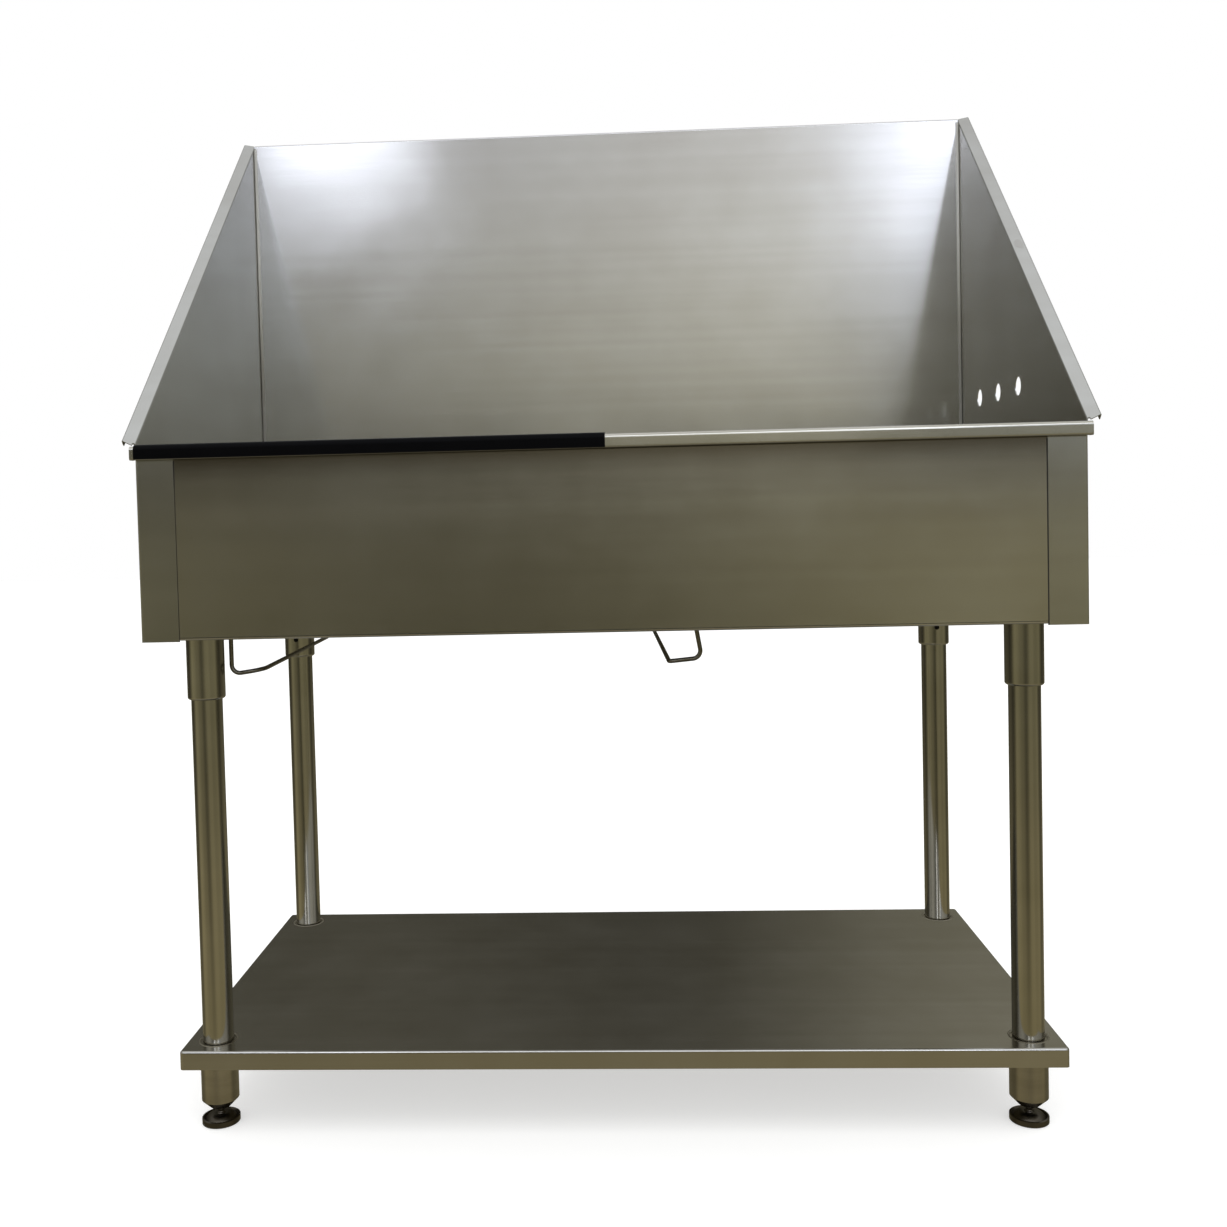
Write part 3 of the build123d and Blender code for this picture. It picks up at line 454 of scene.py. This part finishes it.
STEM_RADIUS = 5.85 * MM
THREAD_PITCH = 1.75 * MM
THREAD_DEPTH = 0.95 * MM
THREAD_FLAT = 0.12  # share of the half pitch that is flat, at the crest and at the root
BALL_RADIUS = 7.5 * MM
BALL_HEIGHT = 8.6 * MM
NECK_RADIUS = 4.2 * MM
NECK_LENGTH = 1.5 * MM
THREAD_START = 2.0 * MM  # from the neck up to the full stem
STEM_TOP = 84 * MM
END_CHAMFER = MM
STEM_SIDES = 40
RINGS_A_TURN = 7
BALL_STEPS = 14
# from the ball's lowest point to just past its neck
BALL_TURN = pi - 0.7 * sqrt(1 - (NECK_RADIUS / BALL_RADIUS) ** 2)


def stem_rings():
    """Heights up a stem, each with its radius and how much thread shows there."""
    rings = []
    for i in range(1, BALL_STEPS + 1):
        angle = BALL_TURN * i / BALL_STEPS
        rings.append((BALL_HEIGHT - BALL_RADIUS * cos(angle), BALL_RADIUS * sin(angle), 0.0))
    neck = BALL_HEIGHT + sqrt(BALL_RADIUS**2 - NECK_RADIUS**2)
    rings = [ring for ring in rings if ring[0] < neck]
    rings.append((neck, NECK_RADIUS, 0.0))
    rings.append((neck + NECK_LENGTH, NECK_RADIUS, 0.0))
    start = neck + NECK_LENGTH + THREAD_START
    rings.append((start, STEM_RADIUS, 0.0))
    threaded = STEM_TOP - END_CHAMFER - start
    count = int(threaded / THREAD_PITCH * RINGS_A_TURN)
    for i in range(1, count + 1):
        # the thread runs out over one turn at both ends
        shows = min(1.0, i / RINGS_A_TURN, (count - i) / RINGS_A_TURN)
        rings.append((start + threaded * i / count, STEM_RADIUS, shows))
    rings.append((STEM_TOP, STEM_RADIUS - END_CHAMFER, 0.0))
    return rings


def make_stem(corner):
    """A levelling stem: its ball, its neck and a cut thread, all one screw."""
    centre = leg_axis(corner)
    form = bmesh.new()
    loops = []
    for height, radius, shows in stem_rings():
        loop = []
        for side in range(STEM_SIDES):
            turn = side / STEM_SIDES
            phase = (height / THREAD_PITCH - turn) % 1.0
            groove = 1 - abs(2 * phase - 1)
            flank = min(1.0, max(0.0, (groove - THREAD_FLAT) / (1 - 2 * THREAD_FLAT)))
            reach = radius - THREAD_DEPTH * shows * flank
            angle = 2 * pi * turn
            spot = centre + Vector((reach * cos(angle), reach * sin(angle), height))
            loop.append(form.verts.new(spot))
        loops.append(loop)
    join_rings(form, loops)
    form.faces.new(list(reversed(loops[0])))
    form.faces.new(loops[-1])
    for face in form.faces:
        face.smooth = True
    piece = add_piece("threaded_stem_" + corner, form, shaded_pad_metal, "stem_" + corner)
    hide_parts("foot_stem_" + corner)


for corner in CORNERS:
    make_stem(corner)


# -------------------------------------------------------------- weld beads
BEAD_RIPPLE = 2.2 * MM  # from one ripple of a bead to the next
RIPPLE_SWELL = 0.1  # share by which a ripple swells the bead
POINTS_A_RIPPLE = 4
BEAD_SIDES = 10
BEAD_FACING = Vector((0.31, 0.17, 0.93))  # no bead runs this way, so its sides can turn from it


def weld_round(name, centre, radius, thickness, corners=48):
    """A ring of weld round a tube or a rod: overlapping ripples, as one closed bead."""
    ring = [
        Vector((centre.x + radius * cos(2 * pi * i / corners),
                centre.y + radius * sin(2 * pi * i / corners), centre.z))
        for i in range(corners)
    ]
    points = []
    for start, end in zip(ring, ring[1:] + ring[:1]):
        count = max(2, int((end - start).length / (BEAD_RIPPLE / POINTS_A_RIPPLE)))
        points += [start.lerp(end, i / count) for i in range(count)]
    form = bmesh.new()
    loops = []
    travelled = 0.0
    for i, point in enumerate(points):
        before = points[i - 1]
        after = points[(i + 1) % len(points)]
        forward = (after - before).normalized()
        side = forward.cross(BEAD_FACING).normalized()
        up = side.cross(forward)
        travelled += (point - before).length
        reach = thickness * (1 + RIPPLE_SWELL * sin(2 * pi * travelled / BEAD_RIPPLE))
        loop = []
        for k in range(BEAD_SIDES):
            angle = 2 * pi * k / BEAD_SIDES
            loop.append(form.verts.new(point + (side * cos(angle) + up * sin(angle)) * reach))
        loops.append(loop)
    join_rings(form, loops + loops[:1])
    bmesh.ops.recalc_face_normals(form, faces=form.faces)
    for face in form.faces:
        face.smooth = True
    bead = add_piece(name, form, weld_metal)


SOCKET_RADIUS = 25 * MM
SOCKET_PLATE = 3 * MM
SLEEVE_RADIUS = 25 * MM
TUBE_BEAD = 1.8 * MM
for corner in CORNERS:
    under_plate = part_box("leg_socket_" + corner)[1].z - SOCKET_PLATE
    weld_round(
        "socket_weld_" + corner, leg_axis(corner, under_plate), SOCKET_RADIUS, TUBE_BEAD,
    )
    under_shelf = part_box("foot_sleeve_" + corner)[1].z
    weld_round(
        "sleeve_weld_" + corner, leg_axis(corner, under_shelf), SLEEVE_RADIUS, TUBE_BEAD,
    )


# ------------------------------------------ welds and seams in the sheet metal
def stack_outlines(name, outlines, material):
    """A closed piece: outlines of equally many points, joined each to the next and capped."""
    form = bmesh.new()
    loops = [[form.verts.new(point) for point in outline] for outline in outlines]
    join_rings(form, loops)
    form.faces.new(loops[0])
    form.faces.new(list(reversed(loops[-1])))
    bmesh.ops.recalc_face_normals(form, faces=form.faces)
    piece = add_piece(name, form, material)
    return piece


SHEET = 1.5 * MM
BEDDED = 0.4 * MM  # how far pieces sink into the sheet that carries them
SLOPE_RISE = 0.9187  # of the side panels' top edge, per unit of depth
apron_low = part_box("front_panel")[0]
back_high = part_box("back_panel")[1]
floor_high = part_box("basin_floor")[1]
corner_x = floor_high.x
corner_y = floor_high.y

# the upright corners of the bowl are welded inside and dressed to a smooth hollow
CORNER_HOLLOW = 3.2 * MM
CORNER_LAND = 0.8 * MM  # flat margin on both sheets beside the hollow
LAND_SKIN = 0.05 * MM  # how far the land stands proud of the sheet
WELD_SKIN = 0.25 * MM  # how far the hollow is built up over the sheets
HOLLOW_STEPS = 14
SQUARE_ON = 0.02  # a face whose normal leans less than this is one of the flat ones
SHADE_BAND_WIDTH = 5 * MM
SHADE_BAND_SKIN = 0.08 * MM
WELD_FOOT = floor_high.z - MM
BELOW_FOLD = 5.5 * MM  # from the splash back's top down to where the welds end


def corner_upright(plan):
    """Outlines of an upright strip: level at the bowl's floor, along the slope at its top."""
    return [
        [Vector((x, y, WELD_FOOT)) for x, y in plan],
        [
            Vector((x, y, back_high.z - BELOW_FOLD - (corner_y - y) * SLOPE_RISE))
            for x, y in plan
        ],
    ]


for side, sign in SIDES:
    land = -CORNER_HOLLOW - CORNER_LAND
    section = [(BEDDED, BEDDED), (land, BEDDED), (land, -LAND_SKIN)]
    for i in range(HOLLOW_STEPS + 1):
        turn = 0.5 * pi * i / HOLLOW_STEPS
        section.append((-CORNER_HOLLOW - WELD_SKIN + CORNER_HOLLOW * sin(turn),
                        -CORNER_HOLLOW - WELD_SKIN + CORNER_HOLLOW * cos(turn)))
    section += [(-LAND_SKIN, land), (BEDDED, land)]
    plan = [(sign * (corner_x + x), corner_y + y) for x, y in section]
    weld = stack_outlines(
        "corner_weld_" + side, corner_upright(plan), dressed_weld
    )
    for face in weld.data.polygons:
        face.use_smooth = min(abs(face.normal.x), abs(face.normal.y)) > SQUARE_ON
    # beside it, a dark band on the side panel is painted shade of the weld's edge
    near = corner_y - CORNER_HOLLOW - CORNER_LAND
    proud = sign * (corner_x - SHADE_BAND_SKIN)
    sunk = sign * (corner_x + BEDDED)
    plan = [(proud, near), (sunk, near), (sunk, near - SHADE_BAND_WIDTH), (proud, near - SHADE_BAND_WIDTH)]
    stack_outlines("painted_weld_shade_" + side, corner_upright(plan), painted_weld_shade)

# dirt in the two ground seams of the apron, and a thin dark line of painted shade along the
# bottom fold
CORNER_RETURN = 50.8 * MM
SEAM_X = corner_x + SHEET - CORNER_RETURN
DARK_LINE_SKIN = 0.06 * MM
DARK_LINE_DEPTH = 0.6 * MM
HEM_LINE = 3.2 * MM  # above the apron's lowest edge
HEM_LINE_WIDTH = 0.7 * MM
# heights in metres, each with the seam's width in millimetres; the left seam is nearly
# closed below its top
SEAM_WIDTHS = {
    "left": ((0.667, 0.5), (0.862, 0.6), (0.872, 1.5), (0.9035, 1.8)),
    "right": ((0.667, 1.7), (0.9035, 1.9)),
}


def dark_line_outline(left, right, height):
    """A dark line in plan, from just proud of the apron to inside its seam: seam dirt, and
    painted shade along the bottom fold.
    """
    front = apron_low.y - DARK_LINE_SKIN
    back = apron_low.y + DARK_LINE_DEPTH
    return [
        Vector((x, y, height))
        for x, y in ((left, front), (right, front), (right, back), (left, back))
    ]


for side, sign in SIDES:
    outlines = [
        dark_line_outline(sign * SEAM_X - width / 2 * MM, sign * SEAM_X + width / 2 * MM, height)
        for height, width in SEAM_WIDTHS[side]
    ]
    stack_outlines("seam_line_" + side, outlines, seam_dirt_and_fold_shade)
# the line along the bottom fold is painted shade
outlines = [
    dark_line_outline(-SEAM_X, SEAM_X, apron_low.z + HEM_LINE + rise) for rise in (0, HEM_LINE_WIDTH)
]
stack_outlines("painted_fold_shade_line", outlines, seam_dirt_and_fold_shade)

# the right flange is joined from two lengths and ground flush by hand, which leaves a
# blot with an uneven outline
FLANGE_MIDDLE = 10.2 * MM  # outwards from the wall's inner face
JOINT_HALF_LENGTH = 12 * MM
JOINT_HALF_WIDTH = 7.0 * MM
JOINT_SKIN = 0.06 * MM
BLOT_POINTS = 28
UNEVEN_LENGTH = 0.18
UNEVEN_WIDTH = 0.1
UNEVEN_TURN = 0.6
slope_length = sqrt(1 + SLOPE_RISE**2)
uphill = Vector((0.0, 1.0, SLOPE_RISE)) / slope_length
outward = Vector((0.0, -SLOPE_RISE, 1.0)) / slope_length
middle = Vector((
    corner_x + FLANGE_MIDDLE, 0.0, back_high.z - (corner_y + SHEET) * SLOPE_RISE
))
blot = []
for i in range(BLOT_POINTS):
    turn = 2 * pi * i / BLOT_POINTS
    along = JOINT_HALF_LENGTH * cos(turn) * (1 + UNEVEN_LENGTH * sin(3 * turn + UNEVEN_TURN))
    across = JOINT_HALF_WIDTH * sin(turn) * (1 + UNEVEN_WIDTH * cos(2 * turn))
    blot.append(middle + uphill * along + Vector((across, 0.0, 0.0)))
outlines = [[spot + outward * rise for spot in blot] for rise in (-BEDDED, JOINT_SKIN)]
stack_outlines("flange_weld_right", outlines, ground_weld)

# the bent rods are welded on at both ends: where each end stands in plan, in metres
ROD_ENDS = {
    "left": (("front", -0.515, -0.2253), ("back", -0.4864, 0.2187)),
    "centre": (("front", 0.1086, -0.2313), ("back", 0.070, 0.1987)),
}
ROD_RADIUS = 3 * MM
ROD_MARGIN = 0.3 * MM  # from the rod to the middle of the bead
ROD_BEAD = 1.3 * MM
ROD_CORNERS = 24
for rod, ends in ROD_ENDS.items():
    spots = [Vector(v.co) for v in nodes[rod + "_hanger_rod"].data.vertices]
    for end, x, y in ends:
        near = [spot.z for spot in spots if (spot.xy - Vector((x, y))).length < 2 * ROD_RADIUS]
        weld_round(
            f"{rod}_rod_weld_{end}", Vector((x, y, max(near) - MM)), ROD_RADIUS + ROD_MARGIN,
            ROD_BEAD, ROD_CORNERS,
        )


# ------------------------------------------------- floor, backdrop and light
FLOOR_HALF = 15.0  # metres
FLOOR_GLOW = 0.55
floor_mesh = bpy.data.meshes.new("studio_floor")
floor_mesh.from_pydata(
    [(x * FLOOR_HALF, y * FLOOR_HALF, 0) for x, y in ((-1, -1), (1, -1), (1, 1), (-1, 1))],
    [],
    [(0, 1, 2, 3)],
)
studio_floor = bpy.data.objects.new("studio_floor", floor_mesh)
bpy.context.scene.collection.objects.link(studio_floor)
# milky acrylic lit a little from below, which keeps the shadow on it pale
floor_paint = matte_solid("lit_acrylic_floor", "#C9C9C8", "#C6C6C5", 0.0, 0.9, 60, 0.0)
glow = floor_paint.node_tree.nodes["Principled BSDF"].inputs
glow["Emission Color"].default_value = srgb("#FFFFFF")
glow["Emission Strength"].default_value = FLOOR_GLOW
floor_mesh.materials.append(floor_paint)
# the steel mirrors the dim workshop of the world below, not the pale floor
studio_floor.visible_glossy = False

world = bpy.data.worlds.new("workshop")
bpy.context.scene.world = world
world.use_nodes = True
air = world.node_tree
air.nodes.clear()
ray = add_node(air, "ShaderNodeTexCoord").outputs["Generated"]
way = add_node(air, "ShaderNodeSeparateXYZ", {"Vector": ray}).outputs

# The workshop that the steel mirrors, in front of the sink and behind it. Each part has
# its colours by elevation in degrees, and how much brighter it is to the left and right:
# the sideways share of the direction, the gain and whether the light there is cooler.
workshop = {
    "ahead, low down": (
        ((-90, "#37342A"), (-60, "#7C7970"), (-40, "#8E8A7E"), (-25, "#958B6C"),
         (-12, "#716B55"), (-6, "#6D6953"), (-3, "#79745D"), (-0.5, "#79745D"),
         (0.8, "#565140"), (2, "#302D27"), (90, "#302D27")),
        ((-1, 1.3, 0), (-0.95, 2.1, 0), (-0.8, 1.8, 0), (-0.65, 1.4, 0), (-0.45, 1.3, 0),
         (-0.33, 1.0, 0), (-0.27, 0.85, 0), (-0.17, 0.7, 0), (-0.1, 0.7, 0), (0, 0.83, 0),
         (0.1, 1.15, 0), (0.165, 1.4, 0), (0.24, 1.7, 0), (0.33, 1.75, 0), (0.55, 1.8, 0),
         (0.66, 1.5, 0), (0.8, 1.5, 0), (0.9, 1.6, 0), (0.96, 1.8, 0), (1, 1.0, 0)),
    ),
    "ahead, high up": (
        ((-90, "#CFCDBC"), (4, "#CFCDBC"), (6, "#D0CFC1"), (9, "#D9D9D0"), (12, "#E3E3DE"),
         (16, "#EEEFF2"), (22, "#D6D7D8"), (40, "#C4C5C6"), (90, "#F0F2F6")),
        ((-1, 0.8, 0), (-0.75, 1.2, 0), (-0.5, 0.6, 0), (-0.35, 0.33, 0), (-0.27, 0.57, 0),
         (-0.2, 0.64, 0), (-0.13, 0.83, 0), (0, 1.1, 0), (0.08, 1.27, 0), (0.15, 1.33, 0),
         (0.18, 1.08, 0), (0.205, 0.5, 0), (0.22, 0.5, 0), (0.243, 0.98, 1), (0.27, 0.86, 1),
         (0.33, 1.12, 1), (0.6, 1.2, 0), (1, 0.8, 0)),
    ),
    "behind": (
        ((-90, "#7A745E"), (-40, "#7A745E"), (-20, "#6A6450"), (-10, "#504C3E"),
         (0, "#302E24"), (12, "#4A483D"), (22, "#555349"), (32, "#7E7C72"), (55, "#E8ECF2"),
         (90, "#FAFBFF")),
        ((-1, 0.9, 0), (-0.93, 0.9, 0), (-0.85, 1.5, 0), (-0.5, 1.7, 0), (-0.27, 1.1, 0),
         (-0.2, 1.15, 0), (-0.1, 0.95, 0), (0, 0.78, 0), (0.06, 0.9, 0), (0.12, 1.5, 0),
         (0.18, 2.3, 0), (0.25, 2.9, 0), (0.5, 2.3, 0), (0.85, 1.9, 0), (0.93, 1.0, 0),
         (1, 0.9, 0)),
    ),
}
TOP_GAIN = 3.0  # ramps hold shares of this
COOLER_RED, COOLER_BLUE = -0.06, 0.16
# steeply up and steeply down it is evenly bright: elevations, each with how even
EVEN = ((-25, 1.0), (-15, 0.0), (25, 0.0), (40, 1.0))
EVEN_GAIN = 1.15


def up_the_ramp(elevation):
    """Where an elevation in degrees lies on a ramp from straight down to straight up."""
    return (1 + sin(radians(elevation))) / 2


by_height = add_node(
    air,
    "ShaderNodeMapRange",
    {"Value": way["Z"], "From Min": -1.0, "From Max": 1.0},
)
by_side = add_node(
    air,
    "ShaderNodeMapRange",
    {"Value": way["X"], "From Min": -1.0, "From Max": 1.0},
)
evenness = add_node(
    air,
    "ShaderNodeValToRGB",
    {"Fac": by_height.outputs["Result"]},
    [(up_the_ramp(elevation), (share, share, share, 1.0)) for elevation, share in EVEN],
)
parts = {}
for part, (levels, gains) in workshop.items():
    colours = add_node(
        air,
        "ShaderNodeValToRGB",
        {"Fac": by_height.outputs["Result"]},
        [(up_the_ramp(elevation), srgb(code)) for elevation, code in levels],
    )
    gain_stops = []
    for sideways, brighter, cool in gains:
        share = brighter / TOP_GAIN
        shade = (share * (1 + COOLER_RED * cool), share, share * (1 + COOLER_BLUE * cool), 1.0)
        gain_stops.append(((1 + sideways) / 2, shade))
    gain = add_node(air, "ShaderNodeValToRGB", {"Fac": by_side.outputs["Result"]}, gain_stops)
    evened = add_node(
        air,
        "ShaderNodeMix",
        {"Factor": evenness.outputs["Color"], "A": gain.outputs["Color"],
         "B": (*[EVEN_GAIN / TOP_GAIN] * 3, 1.0)},
        data_type="RGBA",
    )
    parts[part] = add_node(
        air,
        "ShaderNodeMix",
        {"Factor": 1.0, "A": colours.outputs["Color"], "B": evened.outputs["Result"]},
        data_type="RGBA",
        blend_type="MULTIPLY",
    ).outputs["Result"]

PALE_FROM, PALE_TO = 2.2, 4.2  # degrees up, where the dim part ahead ends
TURNING = 0.25  # sharpness of the change from ahead to behind
upper = add_node(
    air,
    "ShaderNodeMapRange",
    {"Value": way["Z"], "From Min": sin(radians(PALE_FROM)), "From Max": sin(radians(PALE_TO))},
    interpolation_type="SMOOTHSTEP",
)
ahead = add_node(
    air,
    "ShaderNodeMix",
    {"Factor": upper.outputs["Result"], "A": parts["ahead, low down"],
     "B": parts["ahead, high up"]},
    data_type="RGBA",
)
facing = add_node(
    air,
    "ShaderNodeMapRange",
    {"Value": way["Y"], "From Min": -TURNING, "From Max": TURNING},
    interpolation_type="SMOOTHSTEP",
)
mirrored = add_node(
    air,
    "ShaderNodeMix",
    {"Factor": facing.outputs["Result"], "A": ahead.outputs["Result"], "B": parts["behind"]},
    data_type="RGBA",
).outputs["Result"]

# what shines high up behind the camera: the left window and its brightest pane, the right
# window's two panes with the haze beside them, and a row of ceiling lamps. Each has its
# sideways shares from and to, its upward ones from and to, how soft its edges are, and its
# brightness; anything over 1 is capped, and makes the edges steeper.
SHINING = (
    (-0.256, -0.165, 0.25, 0.5, 0.014, 1.9),
    (-0.256, -0.166, 0.268, 0.31, 0.006, 1.6),
    (0.198, 0.225, 0.168, 0.5, 0.013, 1.35),
    (0.225, 0.254, 0.228, 0.5, 0.012, 2.6),
    (0.135, 0.21, 0.17, 0.5, 0.03, 0.13),
    (-0.42, 0.42, 0.5, 0.72, 0.06, 0.9),
)
DAYLIGHT = "#E6ECFF"
CAMERA_SIDE = -0.1  # share of the direction, towards the camera, from which they shine
for leftmost, rightmost, bottom, top, soft, brightness in SHINING:
    amount = brightness
    for axis, low, high in (
        ("X", leftmost - soft, leftmost + soft),
        ("X", rightmost + soft, rightmost - soft),
        ("Z", bottom - soft, bottom + soft),
        ("Z", top + soft, top - soft),
        ("Y", 0.0, CAMERA_SIDE),
    ):
        edge = add_node(
            air,
            "ShaderNodeMapRange",
            {"Value": way[axis], "From Min": low, "From Max": high},
            interpolation_type="SMOOTHSTEP",
        )
        amount = add_node(
            air,
            "ShaderNodeMath",
            {0: amount, 1: edge.outputs["Result"]},
            operation="MULTIPLY",
        ).outputs["Value"]
    mirrored = add_node(
        air,
        "ShaderNodeMix",
        {"Factor": amount, "A": mirrored, "B": srgb(DAYLIGHT)},
        data_type="RGBA",
        blend_type="ADD",
    ).outputs["Result"]

seen_in_steel = add_node(
    air, "ShaderNodeBackground", {"Color": mirrored, "Strength": TOP_GAIN}
)
seen_by_eye = add_node(air, "ShaderNodeBackground", {"Color": srgb("#FFFFFF"), "Strength": 1.0})
kind_of_ray = add_node(air, "ShaderNodeLightPath")
mix = add_node(
    air,
    "ShaderNodeMixShader",
    {
        0: kind_of_ray.outputs["Is Glossy Ray"],
        1: seen_by_eye.outputs["Background"],
        2: seen_in_steel.outputs["Background"],
    },
)
add_node(air, "ShaderNodeOutputWorld", {"Surface": mix.outputs["Shader"]})

# one soft light overhead, which the steel doesn't mirror: lengths in metres
SOFTBOX_SIZE = 6.0
SOFTBOX_WATTS = 120
SOFTBOX_AT = (0.0, -0.8, 5.0)
softbox_data = bpy.data.lights.new("overhead_softbox", "AREA")
softbox_data.shape = "RECTANGLE"
softbox_data.size = SOFTBOX_SIZE
softbox_data.size_y = SOFTBOX_SIZE
softbox_data.energy = SOFTBOX_WATTS
softbox = bpy.data.objects.new("overhead_softbox", softbox_data)
softbox.location = SOFTBOX_AT
softbox.visible_camera = False
softbox.visible_glossy = False
bpy.context.scene.collection.objects.link(softbox)

# ------------------------------------------------------------------- camera
# fitted to the straight edges of the sink: lengths in pixels of the 1227-pixel frame,
# angles in radians and the place in metres
FRAME_PIXELS = 1227
FOCAL_PIXELS = 1272.921
AXIS_FROM_LEFT, AXIS_FROM_TOP = 565.255, 555.349
SENSOR_MM = 36.0
YAW, PITCH, ROLL = -0.048548, -0.036999, -0.024458
CAMERA_AT = (0.027830, -1.934254, 0.829555)
camera_data = bpy.data.cameras.new("photo_camera")
camera_data.sensor_width = SENSOR_MM
camera_data.lens = FOCAL_PIXELS * SENSOR_MM / FRAME_PIXELS
camera_data.shift_x = (FRAME_PIXELS / 2 - AXIS_FROM_LEFT) / FRAME_PIXELS
camera_data.shift_y = (AXIS_FROM_TOP - FRAME_PIXELS / 2) / FRAME_PIXELS
camera_data.clip_end = 100.0
camera = bpy.data.objects.new("photo_camera", camera_data)
forward = Vector((sin(YAW) * cos(PITCH), cos(YAW) * cos(PITCH), sin(PITCH)))
level = Vector((cos(YAW), -sin(YAW), 0.0))
upright = level.cross(forward)
right = level * cos(ROLL) + upright * sin(ROLL)
up = upright * cos(ROLL) - level * sin(ROLL)
camera.matrix_world = Matrix(
    (
        (right.x, up.x, -forward.x, CAMERA_AT[0]),
        (right.y, up.y, -forward.y, CAMERA_AT[1]),
        (right.z, up.z, -forward.z, CAMERA_AT[2]),
        (0, 0, 0, 1),
    )
)
bpy.context.scene.collection.objects.link(camera)
bpy.context.scene.camera = camera
bpy.context.scene.view_settings.view_transform = "Standard"
